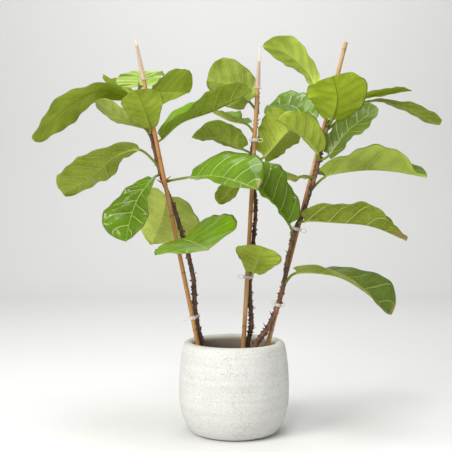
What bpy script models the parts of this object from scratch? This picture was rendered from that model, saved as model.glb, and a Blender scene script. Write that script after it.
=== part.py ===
"""Potted fiddle leaf fig: three staked stems with large folded leaves in a belly-shaped ceramic pot.

Metres, +Z up. The origin is the middle of the pot's flat base. +X is the plant's right-hand side
and -Y its front. Every leaf, stem, stake, clip and cap is its own solid, and they meet with a
small gap instead of touching.
"""

import math
from dataclasses import dataclass

import bmesh
import bpy
from mathutils import Vector

MM = 0.001
GAP = 0.4 * MM

# Pot
POT_HEIGHT = 202 * MM
POT_BELLY_RADIUS = 122.5 * MM
POT_BELLY_HEIGHT = 90 * MM
POT_FOOT_RADIUS = 89 * MM
POT_SHOULDER_RADIUS = 111 * MM
POT_MOUTH_RADIUS = 91.5 * MM
POT_RIM_HEIGHT = 9 * MM
POT_WALL = 11 * MM
POT_FLOOR = 14 * MM
POT_LIP_DEPTH = 50 * MM
POT_SEGMENTS = 40

# Potting mix
SOIL_TOP = 172 * MM
SOIL_EDGE_DROP = 5 * MM

# Stakes: bamboo canes, two of them with a clear plastic cap on the sharpened top
STAKE_RADIUS = 5 * MM
CAP_LENGTH = 97 * MM
CAP_FLANGE_RADIUS = 9.8 * MM
CAP_FLANGE_HEIGHT = 3 * MM
CAP_BASE_RADIUS = 7.4 * MM
CAP_TIP_RADIUS = 2.4 * MM

# Clips that hold a stem to its stake
CLIP_HEIGHT = 8 * MM
CLIP_WALL = 1.4 * MM
CLIP_WING_LENGTH = 19 * MM

# Leaves
PETIOLE_RADIUS = 2.3 * MM
BLADE_THICKNESS = 1.3 * MM
PETIOLE_RINGS = (0.0, 0.45, 0.8)
BLADE_RINGS = (0.02, 0.1, 0.22, 0.36, 0.5, 0.64, 0.77, 0.88, 0.96, 1.0)
# Half width along the blade of a fiddle-shaped leaf: eared base, narrow waist, broad end
FIDDLE = (
    (0.0, 0.12), (0.05, 0.36), (0.14, 0.5), (0.27, 0.55), (0.42, 0.7),
    (0.57, 0.92), (0.7, 1.0), (0.82, 0.93), (0.92, 0.66), (0.98, 0.3), (1.0, 0.08),
)
# Half width along the blade of a leaf without a waist
OVAL = (
    (0.0, 0.12), (0.05, 0.42), (0.14, 0.7), (0.27, 0.92), (0.42, 1.0),
    (0.57, 1.0), (0.7, 0.93), (0.82, 0.77), (0.92, 0.5), (0.98, 0.22), (1.0, 0.08),
)


@dataclass(frozen=True)
class Stake:
    """A straight cane from its foot in the soil to its top, in mm."""

    foot: tuple
    top: tuple
    capped: bool


@dataclass(frozen=True)
class Stem:
    """A woody stem through its points in mm, with its radius at the foot and at the top."""

    points: tuple
    foot_radius: float
    top_radius: float


@dataclass(frozen=True)
class Leaf:
    """One leaf: where it leaves its stem, its way and its set, in mm and degrees.

    blade runs from the blade's base to its tip, and petiole holds any points before it.
    faces gives the direction the upper side looks in, at the base and at the tip.
    fold gives how far the left and the right half are raised, seen from base to tip.
    oval is 0 for a fiddle-shaped outline and 1 for one without a waist.
    """

    name: str
    stem: str
    height: float
    blade: tuple
    width: float
    faces: tuple
    fold: tuple = (15, 15)
    petiole: tuple = ()
    oval: float = 0.0


STAKES = {
    "left": Stake((-48, -20, 40), (-213, -20, 852), True),
    "middle": Stake((13, 10, 40), (55, 10, 822), True),
    "right": Stake((36, 0, 40), (247, 0, 863), False),
}

STEMS = {
    "left": Stem(
        (
            (-55, -8, 110), (-64, -8, 180), (-78, -7, 222), (-87, -6, 280), (-90, -6, 338),
            (-105, -6, 405), (-121, -6, 460), (-136, -6, 505), (-158, -6, 560), (-171, -6, 605),
            (-184, -6, 658), (-198, -7, 715), (-207, -7, 750), (-211, -7, 776),
        ),
        5.6, 3.6,
    ),
    "middle": Stem(
        (
            (24, 24, 110), (31, 24, 190), (39, 23, 232), (37, 23, 280), (36, 23, 335),
            (43, 23, 420), (48, 23, 475), (47, 23, 525), (39, 23, 605), (46, 23, 665),
            (52, 23, 716), (56, 23, 756),
        ),
        5.4, 3.4,
    ),
    "right": Stem(
        (
            (20, -14, 110), (46, -14, 190), (66, -14, 220), (82, -14, 246), (97, -14, 282),
            (110, -13, 330), (117, -13, 378), (124, -13, 409), (134, -13, 450), (148, -13, 475),
            (163, -13, 520), (177, -12, 562), (190, -12, 618), (203, -12, 668), (209, -12, 692),
        ),
        5.8, 3.8,
    ),
}

# Height of each clip on its stake
CLIPS = {
    "left": (256, 412),
    "middle": (343, 648),
    "right": (283, 450),
}

LEAVES = (
    # Left stem, from the top down
    Leaf("left_01", "left", 757, ((-231, -22, 742), (-292, -34, 753), (-365, -45, 714), (-432, -50, 642)),
         114, ((0.0, 0.42, 0.9), (-0.55, 0.42, 0.7)), (-8, -2), oval=0.5),
    Leaf("left_02", "left", 762, ((-190, 25, 756), (-150, 80, 766), (-106, 135, 770)),
         128, ((-0.5, 0.3, 0.8), (-0.5, 0.3, 0.8)), (12, 12), oval=1.0),
    Leaf("left_03", "left", 744, ((-216, 28, 752), (-252, 78, 769), (-276, 128, 772)),
         112, ((0.4, 0.22, 0.85), (0.4, 0.22, 0.85)), (5, 5), oval=0.4),
    Leaf("left_04", "left", 768, ((-205, 8, 768), (-210, 22, 786), (-213, 30, 805)),
         110, ((0.0, -0.85, 0.5), (0.0, -0.95, 0.3)), (5, 5), oval=1.0),
    Leaf("left_05", "left", 664, ((-183, -30, 673), (-190, -80, 706), (-203, -130, 741)),
         92, ((-0.1, 0.72, 0.68), (-0.1, 0.72, 0.68)), (6, 6), oval=0.3),
    Leaf("left_06", "left", 656, ((-201, -2, 676), (-244, -26, 690), (-298, -46, 730)),
         104, ((0.15, 0.18, 0.96), (0.2, 0.25, 0.94)), (4, 4), oval=0.4),
    Leaf("left_07", "left", 648, ((-160, -2, 650), (-115, -6, 687), (-44, -16, 711), (39, -30, 750)),
         112, ((-0.4, -0.3, 0.85), (-0.35, 0.3, 0.85)), (58, 38), petiole=((-172, 2, 643),)),
    Leaf("left_08", "left", 594, ((-208, -26, 625), (-262, -25, 610), (-312, 0, 572), (-386, 40, 528)),
         128, ((-0.3, 0.6, 0.75), (-0.5, 0.6, 0.6)), (10, 16), oval=0.4),
    Leaf("left_09", "left", 574, ((-176, -32, 562), (-204, -62, 522), (-220, -85, 476), (-228, -108, 428)),
         122, ((-0.35, -0.8, 0.45), (-0.1, -0.95, 0.3)), (30, 2)),
    Leaf("left_10", "left", 556, ((-96, -38, 564), (-41, -70, 565), (3, -98, 553), (48, -125, 536)),
         168, ((0.0, -0.8, 0.6), (0.1, -0.85, 0.55)), (4, 42), petiole=((-140, -8, 558),), oval=0.6),
    Leaf("left_11", "left", 545, ((-152, 26, 524), (-168, 75, 472), (-192, 125, 411)),
         200, ((0.0, 0.9, 0.45), (0.0, 0.9, 0.45)), (42, 4), oval=0.8),
    Leaf("left_12", "left", 430, ((-110, -50, 430), (-82, -110, 424), (-54, -180, 414)),
         196, ((-0.3, -0.2, 0.95), (-0.3, -0.35, 0.9)), (20, 10), oval=0.7),
    # Middle stem
    Leaf("middle_01", "middle", 716, ((34, 28, 736), (-4, 45, 774), (-62, 62, 788)),
         120, ((-0.2, 0.8, 0.5), (-0.2, 0.8, 0.5)), (5, 5), oval=0.6),
    Leaf("middle_02", "middle", 668, ((28, 50, 688), (-8, 95, 700), (-45, 150, 722)),
         92, ((0.1, 0.05, 1.0), (0.1, 0.05, 1.0)), (28, 28)),
    Leaf("middle_03", "middle", 622, ((18, 0, 628), (-38, -22, 652), (-92, -35, 651)),
         100, ((0.2, 0.55, 0.8), (0.2, 0.55, 0.8)), (14, 24), oval=0.8),
    Leaf("middle_04", "middle", 606, ((68, 30, 612), (114, 34, 661), (148, 34, 696)),
         140, ((-0.37, 0.85, 0.37), (-0.37, 0.85, 0.37)), (30, 30), oval=0.3),
    Leaf("middle_05", "middle", 530, ((30, 45, 560), (-2, 65, 545), (-36, 75, 508)),
         58, ((-0.1, 0.6, 0.7), (-0.3, 0.6, 0.5)), (6, 6)),
    Leaf("middle_06", "middle", 352, ((42, -22, 356), (50, -60, 389), (54, -95, 418)),
         104, ((0.12, 0.72, 0.7), (0.12, 0.72, 0.7)), (-6, 6), petiole=((40, 4, 350),), oval=0.3),
    # Right stem
    Leaf("right_01", "right", 688, ((188, 8, 744), (168, 38, 803), (122, 54, 848), (66, 62, 866)),
         94, ((0.4, 0.5, 0.75), (0.4, 0.5, 0.75)), (10, 10), petiole=((192, -10, 712),), oval=0.3),
    Leaf("right_02", "right", 682, ((214, -30, 690), (220, -72, 730), (203, -128, 770)),
         134, ((0.0, 0.8, 0.6), (0.0, 0.65, 0.75)), (7, 7), oval=0.8),
    Leaf("right_03", "right", 680, ((242, 20, 732), (300, 50, 748), (355, 75, 761), (412, 95, 770)),
         96, ((-0.1, 0.2, 1.0), (-0.1, 0.1, 1.0)), (5, 5), oval=0.5),
    Leaf("right_04", "right", 672, ((300, 50, 738), (380, 72, 733), (430, 78, 713), (476, 80, 690)),
         100, ((0.1, 0.0, 1.0), (0.4, 0.15, 0.9)), (4, 4)),
    Leaf("right_05", "right", 655, ((168, 44, 694), (138, 97, 733), (84, 148, 741)),
         120, ((0.05, -0.7, 0.7), (0.05, -0.7, 0.7)), (8, 8),
         petiole=((180, -10, 660), (174, 10, 668)), oval=0.4),
    Leaf("right_06", "right", 606, ((206, -34, 612), (246, -42, 664), (308, -50, 714)),
         108, ((-0.5, -0.6, 0.65), (-0.5, -0.6, 0.65)), (14, 14), oval=0.4),
    Leaf("right_07", "right", 606, ((182, -32, 616), (148, -58, 650), (92, -85, 684)),
         96, ((0.42, 0.7, 0.53), (0.42, 0.7, 0.53)), (40, 44), oval=0.8),
    Leaf("right_08", "right", 540,
         ((202, 0, 566), (250, 12, 577), (310, 18, 582), (380, 20, 576), (430, 10, 566)),
         126, ((-0.1, 0.2, 1.0), (0.3, 0.1, 0.95)), (50, 46), oval=0.7),
    Leaf("right_09", "right", 566, ((148, 42, 568), (125, 90, 570), (88, 148, 566)),
         118, ((0.0, 0.42, 0.9), (0.0, 0.42, 0.9)), (10, 10),
         petiole=((162, -12, 567), (155, 10, 569)), oval=0.5),
    Leaf("right_10", "right", 440, ((120, -30, 462), (97, -30, 494), (54, -30, 540), (16, -34, 580)),
         136, ((0.37, -0.82, 0.43), (0.37, -0.82, 0.43)), (50, 35), oval=0.5),
    Leaf("right_11", "right", 462, ((154, -26, 468), (216, -34, 466), (298, -40, 458), (374, -42, 427)),
         118, ((-0.05, 0.25, 1.0), (0.3, -0.15, 0.95)), (42, 48), oval=0.9),
    Leaf("right_12", "right", 330, ((138, -34, 356), (218, -50, 352), (276, -62, 322), (337, -72, 270)),
         136, ((-0.1, 0.1, 1.0), (0.45, -0.85, 0.45)), (5, 34)),
)


def smooth_point(points, position):
    """Returns the point at position, 0 to len(points) - 1, of a smooth curve through the points."""
    index = min(int(position), len(points) - 2)
    share = position - index
    before = points[index - 1] if index else points[0] * 2 - points[1]
    start, end = points[index], points[index + 1]
    after = points[index + 2] if index + 2 < len(points) else end * 2 - start
    pull_in, pull_out = (end - before) / 2, (after - start) / 2
    square, cube = share * share, share * share * share
    return (
        start * (2 * cube - 3 * square + 1) + pull_in * (cube - 2 * square + share)
        + end * (3 * square - 2 * cube) + pull_out * (cube - square)
    )


def spaced(points, shares):
    """Returns the points at the given shares of the length of a smooth curve through the points."""
    steps = 24 * (len(points) - 1)
    fine = [smooth_point(points, i / 24) for i in range(steps + 1)]
    run = [0.0]
    for start, end in zip(fine, fine[1:]):
        run.append(run[-1] + (end - start).length)
    found = []
    for share in shares:
        wanted = share * run[-1]
        index = next((i for i, length in enumerate(run) if length >= wanted), steps)
        index = max(index, 1)
        part = (wanted - run[index - 1]) / (run[index] - run[index - 1])
        found.append(fine[index - 1].lerp(fine[index], part))
    return found, run[-1]


def directions(points):
    """Returns the unit direction of travel at each point."""
    found = []
    for index in range(len(points)):
        ahead = points[min(index + 1, len(points) - 1)]
        behind = points[max(index - 1, 0)]
        found.append((ahead - behind).normalized())
    return found


def between(rows, position):
    """Reads a table of (position, value) rows, with straight lines between the rows."""
    for (low, first), (high, second) in zip(rows, rows[1:]):
        if position <= high:
            return first + (second - first) * (position - low) / (high - low)
    return rows[-1][1]


def millimetres(values):
    return Vector(values) * MM


def material(name, colour, roughness, metallic=0.0, alpha=1.0):
    """Makes a Principled material, or returns the one of that name."""
    found = bpy.data.materials.get(name)
    if found:
        return found
    made = bpy.data.materials.new(name)
    made.use_nodes = True
    shader = made.node_tree.nodes["Principled BSDF"]
    shader.inputs["Base Color"].default_value = (*colour, 1.0)
    shader.inputs["Roughness"].default_value = roughness
    shader.inputs["Metallic"].default_value = metallic
    shader.inputs["Alpha"].default_value = alpha
    return made


def add_object(name, shape, finish, smooth_angle=40):
    """Makes an object of a bmesh, with its faces turned outwards, and frees the bmesh."""
    bmesh.ops.recalc_face_normals(shape, faces=shape.faces)
    mesh = bpy.data.meshes.new(name)
    shape.to_mesh(mesh)
    shape.free()
    mesh.shade_smooth()
    mesh.set_sharp_from_angle(angle=math.radians(smooth_angle))
    mesh.materials.append(finish)
    made = bpy.data.objects.new(name, mesh)
    bpy.context.scene.collection.objects.link(made)
    return made


def loft(rings):
    """Returns a bmesh skin through rings of equal count, with a fan of faces on both ends.

    The two halves of a ring are split into triangles along mirrored lines, so that the upper and the
    under side of a thin blade bend alike and stay apart.
    """
    shape = bmesh.new()
    rows = [[shape.verts.new(point) for point in ring] for ring in rings]
    count = len(rows[0])
    for lower, upper in zip(rows, rows[1:]):
        for index in range(count):
            after = (index + 1) % count
            corners = (lower[index], lower[after], upper[after], upper[index])
            if index < count / 2:
                shape.faces.new((corners[0], corners[1], corners[2]))
                shape.faces.new((corners[0], corners[2], corners[3]))
            else:
                shape.faces.new((corners[0], corners[1], corners[3]))
                shape.faces.new((corners[1], corners[2], corners[3]))
    foot = shape.verts.new(sum(rings[0], Vector()) / count)
    crown = shape.verts.new(sum(rings[-1], Vector()) / count)
    for index in range(count):
        after = (index + 1) % count
        shape.faces.new((foot, rows[0][after], rows[0][index]))
        shape.faces.new((crown, rows[-1][index], rows[-1][after]))
    return shape


def circle(centre, direction, radius, sides, reference=Vector((1, 0, 0))):
    """Returns the points of a ring around a centre, square to a direction."""
    across = (reference - direction * reference.dot(direction)).normalized()
    other = direction.cross(across)
    turns = [2 * math.pi * index / sides for index in range(sides)]
    return [centre + across * math.cos(t) * radius + other * math.sin(t) * radius for t in turns]


def turned(profile, segments):
    """Returns a bmesh turned about Z from (radius, height) points that start and end on the axis."""
    shape = bmesh.new()
    foot = shape.verts.new((0, 0, profile[0][1]))
    crown = shape.verts.new((0, 0, profile[-1][1]))
    rows = []
    for radius, height in profile[1:-1]:
        turns = [2 * math.pi * index / segments for index in range(segments)]
        rows.append([shape.verts.new((radius * math.cos(t), radius * math.sin(t), height)) for t in turns])
    for index in range(segments):
        after = (index + 1) % segments
        shape.faces.new((foot, rows[0][after], rows[0][index]))
        shape.faces.new((crown, rows[-1][index], rows[-1][after]))
        for lower, upper in zip(rows, rows[1:]):
            shape.faces.new((lower[index], lower[after], upper[after], upper[index]))
    return shape


def outer_radius(height):
    """The pot's outside: a rounded belly that falls to the foot and leans in to the shoulder."""
    if height < POT_BELLY_HEIGHT:
        fall = (POT_BELLY_HEIGHT - height) / POT_BELLY_HEIGHT
        return POT_FOOT_RADIUS + (POT_BELLY_RADIUS - POT_FOOT_RADIUS) * (1 - fall**2.2) ** 0.7
    rise = (height - POT_BELLY_HEIGHT) / (POT_HEIGHT - POT_BELLY_HEIGHT)
    return POT_BELLY_RADIUS - (POT_BELLY_RADIUS - POT_SHOULDER_RADIUS) * rise**2.5


def inner_radius(height):
    """The pot's inside: parallel to the outside, drawn in to the mouth under the rim."""
    rim_start = POT_HEIGHT - POT_RIM_HEIGHT
    below = min(max((rim_start - height) / POT_LIP_DEPTH, 0.0), 1.0)
    blend = below * below * (3 - 2 * below)
    return POT_MOUTH_RADIUS + (outer_radius(height) - POT_WALL - POT_MOUTH_RADIUS) * blend


def build_pot():
    """The pot: one turned body with a flat base and a thick round rim."""
    rim_start = POT_HEIGHT - POT_RIM_HEIGHT
    outside_steps = 13
    heights = [rim_start * index / outside_steps for index in range(outside_steps + 1)]
    profile = [(0, 0)] + [(outer_radius(height), height) for height in heights]
    rim_middle = (outer_radius(rim_start) + POT_MOUTH_RADIUS) / 2
    rim_half = (outer_radius(rim_start) - POT_MOUTH_RADIUS) / 2
    rim_steps = 6
    for index in range(1, rim_steps + 1):
        turn = math.pi * index / rim_steps
        profile.append(
            (rim_middle + rim_half * math.cos(turn), rim_start + POT_RIM_HEIGHT * math.sin(turn))
        )
    inside_steps = 9
    for index in range(1, inside_steps + 1):
        height = rim_start + (POT_FLOOR - rim_start) * index / inside_steps
        profile.append((inner_radius(height), height))
    profile.append((0, POT_FLOOR))
    finish = material("pot_ceramic", (0.8, 0.79, 0.76), 0.75)
    return add_object("pot", turned(profile, POT_SEGMENTS), finish, 50)


def stake_way(stake):
    foot, top = millimetres(stake.foot), millimetres(stake.top)
    return foot, top, (top - foot).normalized()


def cap_start(stake):
    """Where a cap's flange sits on its stake, and the stake's direction."""
    foot, top, direction = stake_way(stake)
    share = 60 * MM if stake.top[0] > 0 else 78 * MM
    return top - direction * share, direction


def build_stake(side, stake, grow=0.0):
    """A cane. A capped one is sharpened inside its cap, an open one is cut square."""
    foot, top, direction = stake_way(stake)
    length = (top - foot).length
    rows = [(0.0, STAKE_RADIUS * 1.02), (length * 0.5, STAKE_RADIUS * 0.97)]
    if stake.capped:
        sharp = (top - cap_start(stake)[0]).length
        rows += [(length - sharp, STAKE_RADIUS * 0.88), (length, STAKE_RADIUS * 0.36)]
    else:
        rows += [(length, STAKE_RADIUS * 0.88)]
    sides = 10
    rings = [circle(foot + direction * at, direction, radius + grow, sides) for at, radius in rows]
    finish = material("bamboo", (0.55, 0.33, 0.15), 0.55)
    return add_object(f"stake_{side}", loft(rings), finish)


def build_cap(side, stake):
    """A clear plastic cap: a flange, a long cone and a bore that the cane's sharp top fills."""
    start, direction = cap_start(stake)
    top = millimetres(stake.top)
    bore_length = (top - start).length + 1.5 * MM
    clearance = 0.5 * MM
    bore_foot = STAKE_RADIUS * 0.88 + clearance
    bore_top = STAKE_RADIUS * 0.36 + clearance
    rows = [
        (bore_length, bore_top), (0.0, bore_foot), (0.0, CAP_FLANGE_RADIUS),
        (CAP_FLANGE_HEIGHT, CAP_FLANGE_RADIUS), (CAP_FLANGE_HEIGHT, CAP_BASE_RADIUS),
        (CAP_LENGTH * 0.55, (CAP_BASE_RADIUS + CAP_TIP_RADIUS) / 2 + 0.3 * MM),
        (CAP_LENGTH, CAP_TIP_RADIUS),
    ]
    rings = [circle(start + direction * at, direction, radius, 12) for at, radius in rows]
    finish = material("clear_plastic", (0.86, 0.84, 0.8), 0.2, alpha=0.5)
    return add_object(f"stake_cap_{side}", loft(rings), finish)


def stem_rings(stem, sides, grow=0.0, rings=22):
    points = [millimetres(point) for point in stem.points]
    shares = [index / (rings - 1) for index in range(rings)]
    centres, _ = spaced(points, shares)
    drawn = []
    for share, centre, direction in zip(shares, centres, directions(centres)):
        radius = stem_radius(stem, share) + grow
        drawn.append(circle(centre, direction, radius, sides))
    return drawn


def stem_radius(stem, share):
    """Tapers a stem from foot to top, and to a bud at its very end."""
    radius = stem.foot_radius + (stem.top_radius - stem.foot_radius) * share
    bud_start = 0.955
    if share > bud_start:
        radius *= 1 - 0.78 * (share - bud_start) / (1 - bud_start)
    return radius * MM


def build_stem(side, stem):
    finish = material("bark", (0.16, 0.09, 0.06), 0.85)
    return add_object(f"stem_{side}", loft(stem_rings(stem, 8)), finish, 60)


def stem_at(stem, height):
    """Centre, direction and radius of a stem at a height in mm."""
    points = [millimetres(point) for point in stem.points]
    shares = [index / 400 for index in range(401)]
    centres, _ = spaced(points, shares)
    index = min(range(len(centres)), key=lambda i: abs(centres[i].z - height * MM))
    near = min(max(index, 1), len(centres) - 2)
    direction = (centres[near + 1] - centres[near - 1]).normalized()
    return centres[index], direction, stem_radius(stem, shares[index])


def build_soil():
    """The potting mix that fills the pot, with a hole for each stem and stake."""
    clearance = 0.4 * MM
    bottom = POT_FLOOR + clearance
    edge_height = SOIL_TOP - SOIL_EDGE_DROP
    side_steps = 5
    heights = [bottom + (edge_height - bottom) * index / side_steps for index in range(side_steps + 1)]
    profile = [(0, bottom)]
    # The pot's wall is faceted, so the mix stays inside its flats
    flat_share = math.cos(math.pi / POT_SEGMENTS)
    for height in heights:
        free_radius = inner_radius(height) - 2 * clearance
        profile.append((free_radius * flat_share - 1.5 * MM, height))
    profile += [(inner_radius(edge_height) * 0.55, SOIL_TOP - 1 * MM), (0, SOIL_TOP)]
    soil = add_object("soil", turned(profile, 24), material("potting_mix", (0.09, 0.06, 0.04), 0.95), 30)
    cutters = [
        add_object(f"hole_{side}", loft(stem_rings(stem, 8, clearance)), soil.data.materials[0])
        for side, stem in STEMS.items()
    ]
    for side, stake in STAKES.items():
        cutter = build_stake(side, stake, clearance)
        cutter.name = f"hole_stake_{side}"
        cutters.append(cutter)
    for cutter in cutters:
        cutter.hide_render = True
        cutter.display_type = "WIRE"
        cut = soil.modifiers.new(cutter.name, "BOOLEAN")
        cut.operation = "DIFFERENCE"
        cut.object = cutter
    return soil


def half_width(leaf, position):
    share = between(FIDDLE, position) * (1 - leaf.oval) + between(OVAL, position) * leaf.oval
    return share * leaf.width / 2 * MM


def blade_offset(leaf, side, amount, position, across, up):
    """Where a point of the blade lies beside the midrib: side is -1 for left and 1 for right."""
    lift = math.radians(leaf.fold[0] if side < 0 else leaf.fold[1])
    reach = half_width(leaf, position) * amount
    wave_height = 0.035 * leaf.width * MM
    wave = wave_height * amount**2 * math.sin(position * 14 + side * 1.3 + leaf.width) * min(position * 4, 1)
    return across * side * reach * math.cos(lift) + up * (reach * math.sin(lift) + wave)


def leaf_way(leaf):
    """The points of a leaf's midrib from the stem to its tip, and the share where the blade starts."""
    centre, direction, radius = stem_at(STEMS[leaf.stem], leaf.height)
    points = [millimetres(point) for point in leaf.petiole + leaf.blade]
    outward = points[0] - centre
    outward = (outward - direction * outward.dot(direction)).normalized()
    start = centre + outward * (radius + GAP)
    leave = start + outward * min(7 * MM, (points[0] - start).length * 0.4)
    way = [start, leave] + points
    first = 2 + len(leaf.petiole)
    steps = spaced(way[: first + 1], (0, 1))[1] / spaced(way, (0, 1))[1]
    return way, steps, outward


def leaf_frame(leaf, direction, position):
    """Across (to the right) and up (out of the upper side) of a leaf, square to its midrib."""
    base, tip = Vector(leaf.faces[0]).normalized(), Vector(leaf.faces[1]).normalized()
    faces = base.lerp(tip, position)
    up = (faces - direction * faces.dot(direction)).normalized()
    return direction.cross(up), up


def build_leaf(leaf):
    """A leaf: a round petiole that flattens into a folded, fiddle-shaped blade."""
    way, blade_start, outward = leaf_way(leaf)
    shares = [blade_start * share for share in PETIOLE_RINGS]
    shares += [blade_start + (1 - blade_start) * share for share in BLADE_RINGS]
    centres, _ = spaced(way, shares)
    headings = directions(centres)
    headings[0] = outward
    rings = []
    for index, (centre, heading) in enumerate(zip(centres, headings)):
        if index < len(PETIOLE_RINGS):
            across, up = leaf_frame(leaf, heading, 0.0)
            turns = [math.pi + math.pi * step / 4 for step in range(8)]
            rings.append(
                [centre + (across * math.cos(t) - up * math.sin(t)) * PETIOLE_RADIUS for t in turns]
            )
            continue
        position = BLADE_RINGS[index - len(PETIOLE_RINGS)]
        across, up = leaf_frame(leaf, heading, position)
        # The midrib stays thicker than the blade and thins towards the tip
        rib = up * (BLADE_THICKNESS + PETIOLE_RADIUS * (1 - position)) / 2
        body = up * BLADE_THICKNESS / 2
        left = [blade_offset(leaf, -1, amount, position, across, up) for amount in (1.0, 0.5)]
        right = [blade_offset(leaf, 1, amount, position, across, up) for amount in (1.0, 0.5)]
        rings.append([
            centre + left[0], centre + left[1] + body, centre + rib * 0.5, centre + right[1] + body,
            centre + right[0], centre + right[1] - body, centre - rib, centre + left[1] - body,
        ])
    finish = material("leaf_green", (0.16, 0.34, 0.04), 0.4)
    return add_object(f"leaf_{leaf.name}", loft(rings), finish, 60)


def build_clip(side, number, height):
    """A clip: an oval collar round stem and stake, with two finger wings at one end."""
    stake = STAKES[side]
    foot, _, direction = stake_way(stake)
    on_stake = foot + direction * ((height * MM - foot.z) / direction.z)
    on_stem, _, radius = stem_at(STEMS[side], height)
    along = on_stem - on_stake
    along = (along - direction * along.dot(direction))
    spread = along.length
    along = along.normalized()
    beside = direction.cross(along)
    room = 2.2 * MM
    stake_reach, stem_reach = STAKE_RADIUS + room, radius + room
    outline = []
    steps = 7
    for index in range(steps):
        turn = math.pi / 2 + math.pi * index / (steps - 1)
        outline.append((math.cos(turn), math.sin(turn), 0.0, stake_reach))
    for index in range(steps):
        turn = -math.pi / 2 + math.pi * index / (steps - 1)
        outline.append((math.cos(turn), math.sin(turn), spread, stem_reach))

    def corner(point, extra, level):
        cosine, sine, shift, reach = point
        flat = along * (shift + cosine * (reach + extra)) + beside * (sine * (reach + extra))
        return on_stake + flat + direction * level

    shape = bmesh.new()
    half = CLIP_HEIGHT / 2
    layers = ((0.0, -half), (0.0, half), (CLIP_WALL, half), (CLIP_WALL, -half))
    rows = [[shape.verts.new(corner(point, *layer)) for point in outline] for layer in layers]
    outer_faces = []
    for index in range(len(outline)):
        after = (index + 1) % len(outline)
        for layer in range(4):
            upper = (layer + 1) % 4
            face = shape.faces.new(
                (rows[layer][index], rows[upper][index], rows[upper][after], rows[layer][after])
            )
            if layer == 2:
                outer_faces.append(face)
    bmesh.ops.recalc_face_normals(shape, faces=shape.faces)
    # Two finger wings grow out of the stake's end of the collar
    for place, lean in ((1, 1), (steps - 3, -1)):
        face = outer_faces[place]
        for reach, spreading in ((0.45, 1.15), (1.0, 1.3)):
            made = bmesh.ops.extrude_discrete_faces(shape, faces=[face])
            face = made["faces"][0]
            way = (along * -0.8 + beside * lean * 0.75).normalized()
            bmesh.ops.translate(shape, verts=face.verts, vec=way * CLIP_WING_LENGTH * reach * 0.6)
            middle = face.calc_center_median()
            for vert in face.verts:
                offset = vert.co - middle
                level = direction * offset.dot(direction)
                vert.co = middle + level * spreading + (offset - level) * 0.6
    finish = material("clear_plastic", (0.86, 0.84, 0.8), 0.2, alpha=0.5)
    return add_object(f"clip_{side}_{number}", shape, finish)


def main():
    for leftover in list(bpy.data.objects):
        bpy.data.objects.remove(leftover, do_unlink=True)
    build_pot()
    build_soil()
    for side, stake in STAKES.items():
        build_stake(side, stake)
        if stake.capped:
            build_cap(side, stake)
    for side, stem in STEMS.items():
        build_stem(side, stem)
    for side, heights in CLIPS.items():
        for number, height in enumerate(heights, start=1):
            build_clip(side, number, height)
    for leaf in LEAVES:
        build_leaf(leaf)


main()
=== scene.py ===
"""Looks of the potted fiddle leaf fig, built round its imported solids.

Metres, +Z up. The origin is the middle of the pot's flat base and -Y is the plant's front. Routes and
leaf rows are given in millimetres and degrees, as a grower would note them, and turned into metres.
"""

import logging
import math
from dataclasses import dataclass
from enum import Enum
from typing import Any, Iterable, Sequence

import bpy
import numpy as np
from mathutils import Matrix, Vector, noise


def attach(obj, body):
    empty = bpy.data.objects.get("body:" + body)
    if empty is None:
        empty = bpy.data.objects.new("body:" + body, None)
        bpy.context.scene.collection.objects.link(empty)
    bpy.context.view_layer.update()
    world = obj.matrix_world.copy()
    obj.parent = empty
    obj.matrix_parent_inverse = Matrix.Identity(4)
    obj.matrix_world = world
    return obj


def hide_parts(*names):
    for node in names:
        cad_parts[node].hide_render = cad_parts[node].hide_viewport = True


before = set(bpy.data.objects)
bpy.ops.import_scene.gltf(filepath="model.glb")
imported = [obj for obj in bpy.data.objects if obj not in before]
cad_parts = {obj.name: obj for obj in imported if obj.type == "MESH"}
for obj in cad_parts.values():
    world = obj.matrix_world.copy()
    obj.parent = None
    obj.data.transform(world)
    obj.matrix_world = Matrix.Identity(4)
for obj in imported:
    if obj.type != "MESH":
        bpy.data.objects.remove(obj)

LOG = logging.getLogger("fig")
MM = 0.001
BODY = "root"

Colour = tuple[float, float, float]
Triple = tuple[float, float, float]


# ---------------------------------------------------------------------------------------------
# Node graphs
# ---------------------------------------------------------------------------------------------


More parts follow.
